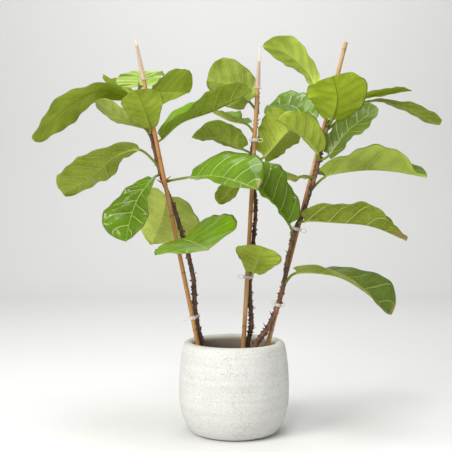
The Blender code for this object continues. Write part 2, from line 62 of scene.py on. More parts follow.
class Wire:
    """A node socket that Python's operators work on: each one adds a Math node."""

    def __init__(self, graph: "Graph", socket: bpy.types.NodeSocket) -> None:
        """Holds an output socket and the graph that it is in."""
        self.graph = graph
        self.socket = socket

    def __add__(self, other: "Wire | float") -> "Wire":
        """Adds."""
        return self.graph.maths("ADD", self, other)

    def __radd__(self, other: float) -> "Wire":
        """Adds, with a number first."""
        return self.graph.maths("ADD", other, self)

    def __sub__(self, other: "Wire | float") -> "Wire":
        """Subtracts."""
        return self.graph.maths("SUBTRACT", self, other)

    def __rsub__(self, other: float) -> "Wire":
        """Subtracts from a number."""
        return self.graph.maths("SUBTRACT", other, self)

    def __mul__(self, other: "Wire | float") -> "Wire":
        """Multiplies."""
        return self.graph.maths("MULTIPLY", self, other)

    def __rmul__(self, other: float) -> "Wire":
        """Multiplies, with a number first."""
        return self.graph.maths("MULTIPLY", other, self)

    def __truediv__(self, other: "Wire | float") -> "Wire":
        """Divides."""
        return self.graph.maths("DIVIDE", self, other)

    def __rtruediv__(self, other: float) -> "Wire":
        """Divides a number."""
        return self.graph.maths("DIVIDE", other, self)

    def __pow__(self, other: "Wire | float") -> "Wire":
        """Raises to a power."""
        return self.graph.maths("POWER", self, other)

    def __gt__(self, other: "Wire | float") -> "Wire":
        """1 where this is greater, else 0."""
        return self.graph.maths("GREATER_THAN", self, other)

    def __abs__(self) -> "Wire":
        """The size without the sign."""
        return self.graph.maths("ABSOLUTE", self)

    def largest(self, other: "Wire | float") -> "Wire":
        """The greater of two values."""
        return self.graph.maths("MAXIMUM", self, other)

    def fraction(self) -> "Wire":
        """The part after the point, 0 to 1."""
        return self.graph.maths("FRACT", self)

    def ramp(self, low: float, high: float, start: float = 0.0, end: float = 1.0) -> "Wire":
        """Eases from start at low to end at high.

        Args:
            low: the value where the ease starts.
            high: the value where it ends, which may be less than low.
            start: the result at low and before it.
            end: the result at high and past it.

        Returns:
            The eased value.
        """
        if low > high:
            low, high, start, end = high, low, end, start
        made = self.graph.node(
            "ShaderNodeMapRange",
            {"interpolation_type": "SMOOTHSTEP"},
            {0: self, 1: low, 2: high, 3: start, 4: end},
        )
        return Wire(self.graph, made.outputs[0])


class Graph:
    """A shader or geometry node tree, and the one method that adds nodes to it."""

    def __init__(self, tree: bpy.types.NodeTree) -> None:
        """Wraps a tree and empties it."""
        self.tree = tree
        tree.nodes.clear()

    def node(
        self, kind: str, settings: dict[str, Any] | None = None, sockets: dict[Any, Any] | None = None
    ) -> bpy.types.Node:
        """Adds one node.

        Args:
            kind: the node's type.
            settings: its properties, set first.
            sockets: input name or index to a value, or to the Wire that feeds it.

        Returns:
            The node.
        """
        made = self.tree.nodes.new(kind)
        for key, value in (settings or {}).items():
            setattr(made, key, value)
        for key, value in (sockets or {}).items():
            if isinstance(value, Wire):
                self.tree.links.new(value.socket, made.inputs[key])
            else:
                made.inputs[key].default_value = value
        return made

    def wire(self, node: bpy.types.Node, output: int | str = 0) -> Wire:
        """An output of a node, as a Wire."""
        return Wire(self, node.outputs[output])

    def out(
        self,
        kind: str,
        settings: dict[str, Any] | None = None,
        sockets: dict[Any, Any] | None = None,
        output: int | str = 0,
    ) -> Wire:
        """Adds one node, as node does, and gives one of its outputs."""
        return self.wire(self.node(kind, settings, sockets), output)

    def maths(self, operation: str, *values: "Wire | float") -> Wire:
        """A Math node on one or more values."""
        return self.out("ShaderNodeMath", {"operation": operation}, dict(enumerate(values)))

    def vector(self, operation: str, first: Any, second: Any) -> Wire:
        """A Vector Math node on two vectors."""
        return self.out("ShaderNodeVectorMath", {"operation": operation}, {0: first, 1: second})

    def scaled(self, vector: Any, factor: Wire) -> Wire:
        """A vector made longer or shorter."""
        return self.out("ShaderNodeVectorMath", {"operation": "SCALE"}, {0: vector, "Scale": factor})

    def mix(self, first: Any, second: Any, share: Any, blend: str = "MIX") -> Wire:
        """Mixes two colours: share 0 is the first, 1 the second."""
        first, second = (
            (*value, 1.0) if isinstance(value, tuple) and len(value) == 3 else value
            for value in (first, second)
        )
        settings = {"data_type": "RGBA", "blend_type": blend, "clamp_factor": True}
        return self.out("ShaderNodeMix", settings, {0: share, 6: first, 7: second}, 2)

    def tinted(self, colour: Wire, factor: Colour) -> Wire:
        """A colour times another."""
        return self.mix(colour, factor, 1.0, "MULTIPLY")

    def attribute(self, name: str, output: str = "Fac") -> Wire:
        """A value or colour that the mesh holds under a name."""
        return self.out("ShaderNodeAttribute", {"attribute_name": name}, None, output)

    def place(self, stretch: Triple = (1.0, 1.0, 1.0)) -> Wire:
        """Object coordinates in metres, stretched along the axes."""
        return self.vector("MULTIPLY", self.out("ShaderNodeTexCoord", output="Object"), stretch)

    def grain(
        self, scale: float, stretch: Triple = (1.0, 1.0, 1.0), detail: float = 2.0, rough: float = 0.5
    ) -> Wire:
        """Noise, about 0.5 on average.

        Args:
            scale: features for each metre.
            stretch: how much closer they are along each axis.
            detail: octaves.
            rough: weight of the finer octaves.

        Returns:
            The noise's value.
        """
        sockets = {"Vector": self.place(stretch), "Scale": scale, "Detail": detail, "Roughness": rough}
        return self.out("ShaderNodeTexNoise", None, sockets)

    def cells(self, scale: float, feature: str = "F1") -> Wire:
        """Distance to the middle (F1) or the edge (DISTANCE_TO_EDGE) of scattered cells."""
        sockets = {"Vector": self.place(), "Scale": scale}
        return self.out("ShaderNodeTexVoronoi", {"feature": feature}, sockets, "Distance")

    def bump(self, height: Wire, depth: float, strength: float = 1.0) -> Wire:
        """A normal that follows a height, where 1 is depth metres."""
        sockets = {"Strength": strength, "Distance": depth, "Height": height}
        return self.out("ShaderNodeBump", None, sockets, "Normal")


class Material:
    """A material with one Principled shader, which a finish fills in."""

    def __init__(self, name: str) -> None:
        """Makes the material and its graph."""
        self.data = bpy.data.materials.new(name)
        self.data.use_nodes = True
        self.graph = Graph(self.data.node_tree)

    def surface(self, sockets: dict[str, Any], through: Colour | None = None, share: float = 0.0) -> None:
        """Adds the Principled shader.

        Args:
            sockets: its inputs.
            through: the colour of light that passes through a thin blade.
            share: how much of the light passes.
        """
        graph = self.graph
        last = graph.out("ShaderNodeBsdfPrincipled", None, sockets)
        if through:
            passing = graph.out("ShaderNodeBsdfTranslucent", None, {"Color": (*through, 1.0)})
            last = graph.out("ShaderNodeMixShader", None, {0: share, 1: last, 2: passing})
        graph.node("ShaderNodeOutputMaterial", None, {"Surface": last})


# ---------------------------------------------------------------------------------------------
# Finishes
# ---------------------------------------------------------------------------------------------


class Green(Enum):
    """Leaf colours by age, side and light."""

    OLIVE = (0.27, 0.325, 0.04)
    LIME = (0.43, 0.53, 0.10)
    MOSS = (0.18, 0.235, 0.03)
    YOUNG = (0.43, 0.56, 0.16)
    GRASS = (0.105, 0.23, 0.006)
    FERN = (0.12, 0.245, 0.012)
    PINE = (0.095, 0.14, 0.035)
    # A darker pine green that paints shade on the upper side of a folded-up flap.
    SHADED_PINE = (0.048, 0.078, 0.026)
    SAGE = (0.43, 0.49, 0.11)
    CHARTREUSE = (0.37, 0.47, 0.03)


@dataclass(frozen=True)
class LeafTissue:
    """A leathery leaf: tinted by its own mesh, with pale veins, a fine net and a soft gloss."""

    pairs: float = 5.4
    lean: float = 0.2
    vein_half_width: float = 0.042
    midrib_half_width: float = 1.6 * MM
    net_scale: float = 105.0
    pale: Colour = (0.62, 0.72, 0.22)
    straw: Colour = (0.88, 0.86, 0.28)
    # The dark brown drawn along a midrib is painted shade: the shadow of the raised rib.
    rib_shadow: Colour = (0.12, 0.07, 0.02)

    def material(self) -> bpy.types.Material:
        """Builds the material.

        Returns:
            One material for every leaf: attributes carry what differs.
        """
        made = Material("leaf_tissue")
        graph = made.graph
        across, along = graph.attribute("across"), graph.attribute("along")
        under, half = graph.attribute("under"), graph.attribute("half_width")
        tint = graph.attribute("tint", "Color")
        gloss, marked = graph.attribute("gloss"), graph.attribute("veined")
        side = abs(across)
        drift = (graph.grain(22.0) - 0.5) * 0.36
        phase = along * self.pairs - side**1.2 * (self.lean * self.pairs) + drift
        apart = abs((phase + (across > 0.0) * 0.3).fraction() - 0.5)
        reach = self.vein_half_width
        branch = apart.ramp(reach * 0.3, reach * 1.6, 1.0, 0.0) * side.ramp(0.75, 1.0, 1.0, 0.0)
        # Leaves with veined below zero get a wider midrib painted dark as shade, and fainter side veins.
        shadowed_rib = (marked * -1.0) > 0.0
        branch = branch * (1.0 - shadowed_rib * 0.65)
        rib_reach = (1.15 - along) * self.midrib_half_width * (shadowed_rib * 0.9 + 1.0)
        midrib = (side * half / rib_reach).ramp(0.5, 1.3, 1.0, 0.0)
        on_blade = along.ramp(-0.02, 0.03)
        net = graph.cells(self.net_scale, "DISTANCE_TO_EDGE").ramp(0.0, 0.12, 1.0, 0.0)
        veins = (branch * 0.75).largest(midrib) * on_blade
        mottle = graph.grain(26.0, detail=3.0)
        shaded = graph.mix(tint, graph.tinted(tint, (0.6, 0.66, 0.5)), mottle.ramp(0.4, 0.75))
        # Painted highlight: the blade is drawn lighter on the swells between side veins, where the puckers
        # catch light.
        between = apart.ramp(0.1, 0.5, 0.0, 0.35) * on_blade
        shaded = graph.mix(shaded, graph.tinted(tint, (1.3, 1.25, 1.0)), between)
        line = graph.mix(graph.mix(self.pale, tint, 0.25), graph.mix(self.straw, tint, 0.2), under)
        shaded = graph.mix(shaded, line, net * (under * 0.12 + 0.12) * on_blade)
        # Painted shade: a darker band is drawn beside each side vein, in the groove that the vein sits in.
        clear_of_ends = side.ramp(0.02, 0.2) * side.ramp(0.7, 1.0, 1.0, 0.0)
        beside = apart.ramp(reach * 1.5, reach * 4.5, 0.5, 0.0) * clear_of_ends
        shaded = graph.mix(shaded, graph.tinted(tint, (0.66, 0.66, 0.6)), beside * on_blade)
        # Painted shade: where veined is below zero the midrib is drawn dark, as the shadow of the raised rib.
        dark = graph.mix(tint, self.rib_shadow, 0.75)
        line = graph.mix(line, dark, shadowed_rib * midrib.ramp(0.2, 0.6))
        shaded = graph.mix(shaded, line, veins * (abs(marked) + 0.14))
        fine = graph.grain(700.0, detail=3.0)
        rough = gloss + under * 0.2 + (mottle - 0.5) * 0.16 + veins * 0.08
        height = fine * 0.15 + net * (0.25 + under * 0.35) + veins * (under * 2.2 - 0.7)
        made.surface(
            {
                "Base Color": shaded,
                "Roughness": rough,
                "Specular IOR Level": 0.13,
                "Coat Weight": graph.attribute("coat"),
                "Coat Roughness": 0.11,
                "Normal": graph.bump(height, 0.45 * MM, 0.8),
            },
            (0.62, 0.74, 0.035),
            0.34,
        )
        return made.data


@dataclass(frozen=True)
class Stoneware:
    """White matt ceramic: sandy speckle, small pits and faint throwing lines."""

    body: Colour = (0.69, 0.685, 0.66)
    shade: Colour = (0.52, 0.50, 0.465)
    speck: Colour = (0.40, 0.37, 0.32)
    # The inner wall's colour is painted shade inside the mouth.
    inside: Colour = (0.34, 0.29, 0.23)

    def material(self) -> bpy.types.Material:
        """Builds the material."""
        made = Material("stoneware")
        graph = made.graph
        cloud = graph.grain(14.0, detail=4.0)
        bands = graph.grain(11.0, (0.2, 0.2, 12.0), 4.0)
        sand = graph.grain(330.0, detail=3.0, rough=0.7)
        pits = graph.cells(130.0).ramp(0.12, 0.24, 1.0, 0.0) * (graph.grain(26.0) > 0.56)
        fine_pits = graph.cells(300.0).ramp(0.16, 0.3, 1.0, 0.0) * (graph.grain(45.0) > 0.47)
        colour = graph.mix(self.body, self.shade, (cloud - 0.4) * 0.6 + (bands - 0.45) * 1.1)
        colour = graph.mix(colour, self.shade, sand.ramp(0.46, 0.68, 0.0, 0.9))
        colour = graph.mix(colour, self.speck, (pits * 0.7).largest(fine_pits * 0.5))
        # Painted shade on the inner wall, deepening below the rim.
        colour = graph.mix(colour, self.inside, graph.attribute("inside"))
        height = sand * 0.9 + bands * 1.2 - pits * 1.6 - fine_pits * 1.2
        made.surface(
            {
                "Base Color": colour,
                "Roughness": 0.72 + sand * 0.16,
                "Specular IOR Level": 0.35,
                "Normal": graph.bump(height, 0.5 * MM, 0.8),
            }
        )
        return made.data


@dataclass(frozen=True)
class Bark:
    """Dark red-brown bark with lighter torn patches that run along the stem."""

    crack: Colour = (0.045, 0.022, 0.016)

    def material(self) -> bpy.types.Material:
        """Builds the material."""
        made = Material("bark")
        graph = made.graph
        tint = graph.attribute("tint", "Color")
        strips = graph.grain(150.0, (1.0, 1.0, 0.22), 4.0, 0.65)
        patches = graph.grain(55.0, (1.0, 1.0, 0.5), 3.0)
        flecks = graph.grain(900.0, (1.0, 1.0, 0.5), 2.0)
        colour = graph.mix(tint, graph.tinted(tint, (2.6, 2.3, 2.0)), patches.ramp(0.5, 0.68, 0.0, 0.8))
        colour = graph.mix(colour, self.crack, strips.ramp(0.5, 0.36, 0.0, 0.85))
        colour = graph.mix(colour, self.crack, graph.attribute("scar") * 0.7)
        height = strips * 1.4 + patches * 0.8 + flecks * 0.3
        made.surface(
            {
                "Base Color": colour,
                "Roughness": 0.66 + strips * 0.25,
                "Normal": graph.bump(height, 0.9 * MM),
            }
        )
        return made.data


@dataclass(frozen=True)
class Bamboo:
    """Dry satin bamboo cane: fine long fibres, orange-brown streaks and darker joints."""

    light: Colour = (0.51, 0.31, 0.125)
    warm: Colour = (0.40, 0.175, 0.045)
    joint: Colour = (0.14, 0.065, 0.03)

    def material(self) -> bpy.types.Material:
        """Builds the material."""
        made = Material("bamboo")
        graph = made.graph
        fibre = graph.grain(420.0, (1.0, 1.0, 0.03), 3.0, 0.6)
        wash = graph.grain(30.0, (1.0, 1.0, 0.18), 3.0)
        colour = graph.mix(self.light, self.warm, wash.ramp(0.36, 0.62))
        colour = graph.mix(colour, self.joint, fibre.ramp(0.5, 0.32, 0.0, 0.4))
        colour = graph.mix(colour, self.joint, graph.attribute("joint") * 0.8)
        made.surface(
            {
                "Base Color": colour,
                "Roughness": 0.42 + fibre * 0.2,
                "Normal": graph.bump(fibre + wash * 0.4, 0.25 * MM),
            }
        )
        return made.data


@dataclass(frozen=True)
class ClearPlastic:
    """Clear moulded plastic with a slight cloud."""

    colour: Colour = (0.84, 0.83, 0.79)
    cloud: Colour = (0.66, 0.63, 0.57)
    alpha: float = 0.5

    def material(self, name: str) -> bpy.types.Material:
        """Builds the material under a name."""
        made = Material(name)
        graph = made.graph
        haze = graph.grain(160.0, detail=3.0)
        made.surface(
            {
                "Base Color": graph.mix(self.colour, self.cloud, haze.ramp(0.4, 0.7)),
                "Roughness": 0.12 + haze * 0.2,
                "Alpha": self.alpha + (haze - 0.5) * 0.25,
                "IOR": 1.49,
                "Normal": graph.bump(haze, 0.15 * MM),
            }
        )
        return made.data


@dataclass(frozen=True)
class PottingMix:
    """Dark, dry, crumbly mix, and the bark chips in it."""

    dark: Colour = (0.035, 0.022, 0.015)
    crumb: Colour = (0.13, 0.085, 0.05)

    def material(self, name: str, lightness: float) -> bpy.types.Material:
        """Builds the material under a name, as light as asked."""
        made = Material(name)
        graph = made.graph
        lumps = graph.grain(160.0, detail=5.0, rough=0.7)
        bits = graph.cells(260.0)
        crumb = tuple(channel * lightness for channel in self.crumb)
        colour = graph.mix(self.dark, crumb, lumps.ramp(0.35, 0.7))
        made.surface(
            {
                "Base Color": colour,
                "Roughness": 0.85 + bits * 0.1,
                "Normal": graph.bump(lumps + bits * 0.6, 1.6 * MM),
            }
        )
        return made.data


# ---------------------------------------------------------------------------------------------
# Meshes
# ---------------------------------------------------------------------------------------------


@dataclass
class Skin:
    """Points and faces of a closed shape, with values that the points carry."""

    points: np.ndarray
    faces: list[tuple[int, ...]]
    values: dict[str, np.ndarray]

    @classmethod
    def through(cls, rings: np.ndarray, thin: bool = False, **values: np.ndarray) -> "Skin":
        """Skins rings of equal count and closes both ends with a fan.

        Args:
            rings: points, as (ring, place in the ring, 3).
            thin: splits the walls so that both sides of a thin blade bend along the same lines.
            values: for each name, one number or colour for each ring point.

        Returns:
            The closed skin.
        """
        count, sides = rings.shape[:2]
        index = np.arange(count * sides).reshape(count, sides)
        after = np.roll(index, -1, axis=1)
        low, low_after, high_after, high = index[:-1], after[:-1], after[1:], index[1:]
        walls = np.stack([low, low_after, high_after, high], axis=-1).reshape(-1, 4)
        if thin:
            top = np.arange(sides) < sides // 2
            one = np.stack([low, low_after, np.where(top, high_after, high)], axis=-1)
            two = np.stack([np.where(top, low, low_after), high_after, high], axis=-1)
            walls = np.concatenate([one.reshape(-1, 3), two.reshape(-1, 3)])
        foot, crown = count * sides, count * sides + 1
        faces = [tuple(row) for row in walls.tolist()]
        faces += [(foot, b, a) for a, b in zip(index[0].tolist(), after[0].tolist())]
        faces += [(crown, a, b) for a, b in zip(index[-1].tolist(), after[-1].tolist())]
        kept = {name: cls.with_ends(array) for name, array in values.items()}
        return cls(cls.with_ends(rings), faces, kept)

    @staticmethod
    def with_ends(rings: np.ndarray) -> np.ndarray:
        """Flattens ring values and adds the mean of the first and the last ring."""
        flat = rings.reshape(rings.shape[0] * rings.shape[1], *rings.shape[2:])
        return np.concatenate([flat, rings[0].mean(axis=0)[None], rings[-1].mean(axis=0)[None]])

    @classmethod
    def around(cls, rings: np.ndarray) -> "Skin":
        """Skins rings that run round a loop, so that there are no ends."""
        count, sides = rings.shape[:2]
        index = np.arange(count * sides).reshape(count, sides)
        after = np.roll(index, -1, axis=1)
        walls = np.stack([index, after, np.roll(after, -1, axis=0), np.roll(index, -1, axis=0)], axis=-1)
        return cls(rings.reshape(-1, 3), [tuple(row) for row in walls.reshape(-1, 4).tolist()], {})

    def joined(self, other: "Skin") -> "Skin":
        """This skin and another as separate closed bodies of one mesh."""
        shift = len(self.points)
        moved = [tuple(corner + shift for corner in face) for face in other.faces]
        return Skin(np.concatenate([self.points, other.points]), self.faces + moved, {})

    def volume(self) -> float:
        """The signed volume: below zero if the faces point inwards."""
        total = 0.0
        for face in self.faces:
            first = self.points[face[0]]
            for second, third in zip(face[1:], face[2:]):
                total += float(np.dot(first, np.cross(self.points[second], self.points[third])))
        return total

    def mesh(self, name: str, finish: bpy.types.Material, sharp: float = 180.0) -> bpy.types.Object:
        """Makes the object, with its faces pointing outwards.

        Args:
            name: the piece's name.
            finish: its material.
            sharp: the angle in degrees above which an edge is sharp.

        Returns:
            The object, at the origin.
        """
        faces = self.faces if self.volume() > 0 else [face[::-1] for face in self.faces]
        data = bpy.data.meshes.new(name)
        data.from_pydata(self.points.tolist(), [], faces)
        for key, array in self.values.items():
            carry(data, key, array)
        data.shade_smooth()
        if sharp < 180.0:
            data.set_sharp_from_angle(angle=math.radians(sharp))
        data.materials.append(finish)
        return link(name, data)


def carry(data: bpy.types.Mesh, name: str, values: np.ndarray) -> None:
    """Gives a mesh's points a number or a colour each, under a name."""
    if values.ndim == 2:
        layer = data.attributes.new(name, "FLOAT_COLOR", "POINT")
        full = np.concatenate([values, np.ones((len(values), 1))], axis=1)
        layer.data.foreach_set("color", full.astype(np.float32).ravel())
    else:
        layer = data.attributes.new(name, "FLOAT", "POINT")
        layer.data.foreach_set("value", values.astype(np.float32))


def link(name: str, data: bpy.types.ID) -> bpy.types.Object:
    """Puts data into the scene as an object."""
    made = bpy.data.objects.new(name, data)
    bpy.context.scene.collection.objects.link(made)
    return made


def hand_over(piece: bpy.types.Object, slot: str, *nodes: str) -> None:
    """Lets a finished piece ride on the body and stand for its solids.

    Args:
        piece: the finished object.
        slot: the record's material slot.
        nodes: the solids that it stands for.
    """
    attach(piece, BODY)
    if nodes:
        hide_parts(*nodes)
    LOG.info("%s: %d faces, slot %s", piece.name, len(piece.data.polygons), slot)


def unit(rows: np.ndarray) -> np.ndarray:
    """Scales each row to length 1."""
    return rows / np.maximum(np.linalg.norm(rows, axis=-1, keepdims=True), 1e-12)


def ease(values: np.ndarray, low: float, high: float) -> np.ndarray:
    """Eases from 0 at low to 1 at high."""
    share = np.clip((values - low) / (high - low), 0.0, 1.0)
    return share * share * (3 - 2 * share)


def circle(count: int) -> np.ndarray:
    """The angles of evenly spaced places round a ring."""
    return 2 * np.pi * np.arange(count) / count


def mottle(points: np.ndarray, scale: float, shift: float = 0.0) -> np.ndarray:
    """Smooth noise at points, from about -0.5 to 0.5."""
    return np.array([noise.noise(Vector(point) * scale + Vector((shift, 0, 0))) for point in points])


class Route:
    """A smooth curve through points in millimetres, read by share of its length."""

    STEPS = 24

    def __init__(self, points: Sequence[Sequence[float]]) -> None:
        """Draws the curve through the points."""
        rows = np.array(points, float)
        rows = np.concatenate([[2 * rows[0] - rows[1]], rows, [2 * rows[-1] - rows[-2]]])
        spans = []
        share = (np.arange(self.STEPS) / self.STEPS)[:, None]
        for before, start, end, after in zip(rows, rows[1:], rows[2:], rows[3:]):
            pull_in, pull_out = (end - before) / 2, (after - start) / 2
            spans.append(
                start * (2 * share**3 - 3 * share**2 + 1)
                + pull_in * (share**3 - 2 * share**2 + share)
                + end * (3 * share**2 - 2 * share**3)
                + pull_out * (share**3 - share**2)
            )
        self.fine = np.concatenate([*spans, rows[-2][None]]) * MM
        steps = np.linalg.norm(np.diff(self.fine, axis=0), axis=1)
        self.run = np.concatenate([[0.0], np.cumsum(steps)])

    @property
    def length(self) -> float:
        """The length in metres."""
        return float(self.run[-1])

    def at(self, shares: np.ndarray) -> np.ndarray:
        """The points at the shares of the length."""
        wanted = np.asarray(shares) * self.length
        return np.stack([np.interp(wanted, self.run, self.fine[:, axis]) for axis in range(3)], axis=1)

    @staticmethod
    def headings(points: np.ndarray) -> np.ndarray:
        """The direction of travel at each point."""
        ahead = np.concatenate([points[1:], points[-1:]])
        behind = np.concatenate([points[:1], points[:-1]])
        return unit(ahead - behind)


def tube(centres: np.ndarray, radii: np.ndarray, sides: int) -> np.ndarray:
    """Rings round a route.

    Args:
        centres: the route's points.
        radii: the radius at each point, or at each point of each ring.
        sides: points in a ring.

    Returns:
        The rings, as (ring, place, 3).
    """
    headings = Route.headings(centres)
    reference = np.array([1.0, 0.0, 0.0])
    across = unit(reference - headings * (headings @ reference)[:, None])
    other = np.cross(headings, across)
    turns = circle(sides)
    reach = radii.reshape(len(centres), -1, 1)
    return centres[:, None] + reach * (
        across[:, None] * np.cos(turns)[None, :, None] + other[:, None] * np.sin(turns)[None, :, None]
    )


# ---------------------------------------------------------------------------------------------
# Geometry node trees
# ---------------------------------------------------------------------------------------------


class Recipe(Graph):
    """A geometry node tree with named inputs, run once and kept as a plain mesh."""

    KINDS = {float: "NodeSocketFloat", int: "NodeSocketInt"}

    def __init__(self, name: str, inputs: dict[str, Any]) -> None:
        """Makes the tree.

        Args:
            name: the tree's name.
            inputs: name to the value used this time: a number, an object or a material.
        """
        tree = bpy.data.node_groups.new(name, "GeometryNodeTree")
        super().__init__(tree)
        tree.interface.new_socket("Geometry", in_out="INPUT", socket_type="NodeSocketGeometry")
        tree.interface.new_socket("Geometry", in_out="OUTPUT", socket_type="NodeSocketGeometry")
        self.values = {}
        for label, value in inputs.items():
            if isinstance(value, bpy.types.Object):
                kind = "NodeSocketObject"
            elif isinstance(value, bpy.types.Material):
                kind = "NodeSocketMaterial"
            else:
                kind = self.KINDS[type(value)]
            socket = tree.interface.new_socket(label, in_out="INPUT", socket_type=kind)
            self.values[socket.identifier] = value
        self.entry = self.node("NodeGroupInput")

    def given(self, label: str) -> Wire:
        """An input of the tree."""
        return self.wire(self.entry, label)

    def position(self) -> tuple[Wire, Wire, Wire]:
        """The X, Y and Z of each point."""
        return self.parts(self.out("GeometryNodeInputPosition"))

    def parts(self, vector: Wire) -> tuple[Wire, Wire, Wire]:
        """The X, Y and Z of a vector."""
        split = self.node("ShaderNodeSeparateXYZ", None, {0: vector})
        return self.wire(split, 0), self.wire(split, 1), self.wire(split, 2)

    def point(self, *parts: Wire) -> Wire:
        """A vector from its X, Y and Z."""
        return self.out("ShaderNodeCombineXYZ", None, dict(enumerate(parts)))

    def moved(self, geometry: Wire, **sockets: Wire) -> Wire:
        """Geometry with its points moved to a Position or by an Offset."""
        return self.out("GeometryNodeSetPosition", None, {"Geometry": geometry, **sockets})

    def real(self, instances: Wire) -> Wire:
        """Real geometry in place of instances."""
        return self.out("GeometryNodeRealizeInstances", None, {"Geometry": instances})

    def close(self, geometry: Wire) -> None:
        """Ends the tree: real geometry, smooth, in the given material."""
        smooth = self.out("GeometryNodeSetShadeSmooth", None, {"Geometry": self.real(geometry)})
        sockets = {"Geometry": smooth, "Material": self.given("Finish")}
        self.node("NodeGroupOutput", None, {0: self.out("GeometryNodeSetMaterial", None, sockets)})

    def run(self, name: str, base: bpy.types.Mesh | None = None) -> bpy.types.Object:
        """Runs the tree on a helper and returns the result as a plain object.

        Args:
            name: the piece's name.
            base: the mesh that goes in, if the tree reads one.

        Returns:
            The object, with no modifier.
        """
        helper = link(f"{name}_helper", base or bpy.data.meshes.new(f"{name}_base"))
        modifier = helper.modifiers.new("recipe", "NODES")
        modifier.node_group = self.tree
        for identifier, value in self.values.items():
            modifier[identifier] = value
        graph = bpy.context.evaluated_depsgraph_get()
        data = bpy.data.meshes.new_from_object(helper.evaluated_get(graph))
        data.name = name
        bpy.data.objects.remove(helper)
        return link(name, data)


# ---------------------------------------------------------------------------------------------
# Pot and potting mix
# ---------------------------------------------------------------------------------------------


@dataclass
class Pot:
    """A thrown pot: flat base, round belly, shoulders that lean in and a thick round rim."""

    height: float = 202 * MM
    belly_radius: float = 122.2 * MM
    belly_height: float = 90 * MM
    foot_radius: float = 89 * MM
    shoulder_radius: float = 111 * MM
    mouth_radius: float = 91.5 * MM
    rim_height: float = 9 * MM
    wall: float = 11 * MM
    floor: float = 14 * MM
    lip_depth: float = 50 * MM
    foot_round: float = 5 * MM
    ring_depth: float = 0.35 * MM

    def outer(self, height: float) -> float:
        """The outside radius at a height."""
        if height < self.belly_height:
            fall = (self.belly_height - height) / self.belly_height
            return self.foot_radius + (self.belly_radius - self.foot_radius) * (1 - fall**2.2) ** 0.7
        rise = (height - self.belly_height) / (self.height - self.belly_height)
        return self.belly_radius - (self.belly_radius - self.shoulder_radius) * rise**2.5

    def inner(self, height: float) -> float:
        """The inside radius at a height."""
        rim_start = self.height - self.rim_height
        below = min(max((rim_start - height) / self.lip_depth, 0.0), 1.0)
        blend = below * below * (3 - 2 * below)
        return self.mouth_radius + (self.outer(height) - self.wall - self.mouth_radius) * blend

    def outline(self) -> list[tuple[float, float]]:
        """The profile from the middle of the base, up outside, over the rim and down inside."""
        rim_start = self.height - self.rim_height
        rows = [(0.0, 0.0), (self.foot_radius * 0.5, 0.0), (self.foot_radius - self.foot_round, 0.0)]
        steps = 44
        for index in range(1, steps + 1):
            height = rim_start * index / steps
            rows.append((self.outer(height), height))
        middle = (self.outer(rim_start) + self.mouth_radius) / 2
        half = (self.outer(rim_start) - self.mouth_radius) / 2
        for index in range(1, 17):
            turn = math.pi * index / 16
            rows.append((middle + half * math.cos(turn), rim_start + self.rim_height * math.sin(turn)))
        for index in range(1, 25):
            height = rim_start + (self.floor - rim_start) * index / 24
            rows.append((self.inner(height), height))
        return rows + [(0.0, self.floor)]

    def build(self) -> None:
        """Turns the outline, presses the throwing rings in and hands the pot over."""
        outline = self.outline()
        data = bpy.data.curves.new("pot_outline", "CURVE")
        data.dimensions = "3D"
        spline = data.splines.new("POLY")
        spline.points.add(len(outline) - 1)
        for point, (radius, height) in zip(spline.points, outline):
            point.co = (radius, 0.0, height, 1.0)
        guide = link("pot_outline", data)
        recipe = Recipe(
            "thrown_pot",
            {
                "Outline": guide,
                "Around": 193,
                "Up": 260,
                "Ring Depth": self.ring_depth,
                "Ring Pitch": 5.5 * MM,
                "Widest": self.belly_radius,
                "Finish": Stoneware().material(),
            },
        )
        sheet = {0: 1.0, 1: 1.0, 2: recipe.given("Around"), 3: recipe.given("Up")}
        grid = recipe.out("GeometryNodeMeshGrid", None, sheet, "Mesh")
        across, up, _ = recipe.position()
        turn = (across + 0.5) * (2 * math.pi)
        sockets = {"Object": recipe.given("Outline")}
        curve = recipe.out("GeometryNodeObjectInfo", {"transform_space": "RELATIVE"}, sockets, "Geometry")
        found = recipe.out(
            "GeometryNodeSampleCurve",
            {"mode": "FACTOR", "use_all_curves": True},
            {"Curves": curve, "Factor": up + 0.5},
            "Position",
        )
        radius, _, height = recipe.parts(found)
        cosine, sine = recipe.maths("COSINE", turn), recipe.maths("SINE", turn)
        sockets = {"Vector": recipe.point(cosine, sine, height * 60.0), "Scale": 1.4, "Detail": 3.0}
        wobble = recipe.out("ShaderNodeTexNoise", None, sockets)
        rings = recipe.maths("SINE", height / recipe.given("Ring Pitch") * (2 * math.pi) + cosine * 0.8)
        shift = (rings * 0.35 + (wobble - 0.5) * 1.6) * recipe.given("Ring Depth")
        radius = radius + shift * radius / recipe.given("Widest")
        turned = recipe.moved(grid, Position=recipe.point(radius * cosine, radius * sine, height))
        weld = {"Geometry": turned, "Distance": 0.01 * MM}
        recipe.close(recipe.out("GeometryNodeMergeByDistance", None, weld))
        pot = recipe.run("thrown_pot")
        bpy.data.objects.remove(guide)
        self.shade_inside(pot.data)
        hand_over(pot, "pot_ceramic", "pot")

    def shade_inside(self, data: bpy.types.Mesh) -> None:
        """Marks the inner wall for painted shade, greyer and browner than the outside and deeper below the
        rim.
        """
        points = np.array([vert.co[:] for vert in data.vertices])
        radii = np.hypot(points[:, 0], points[:, 1])
        inner = np.array([self.inner(height) for height in points[:, 2]])
        inside = (radii < inner + 4 * MM) & (points[:, 2] > self.floor - 1 * MM)
        depth = ease(self.height - points[:, 2], 2 * MM, 14 * MM)
        carry(data, "inside", inside * depth)


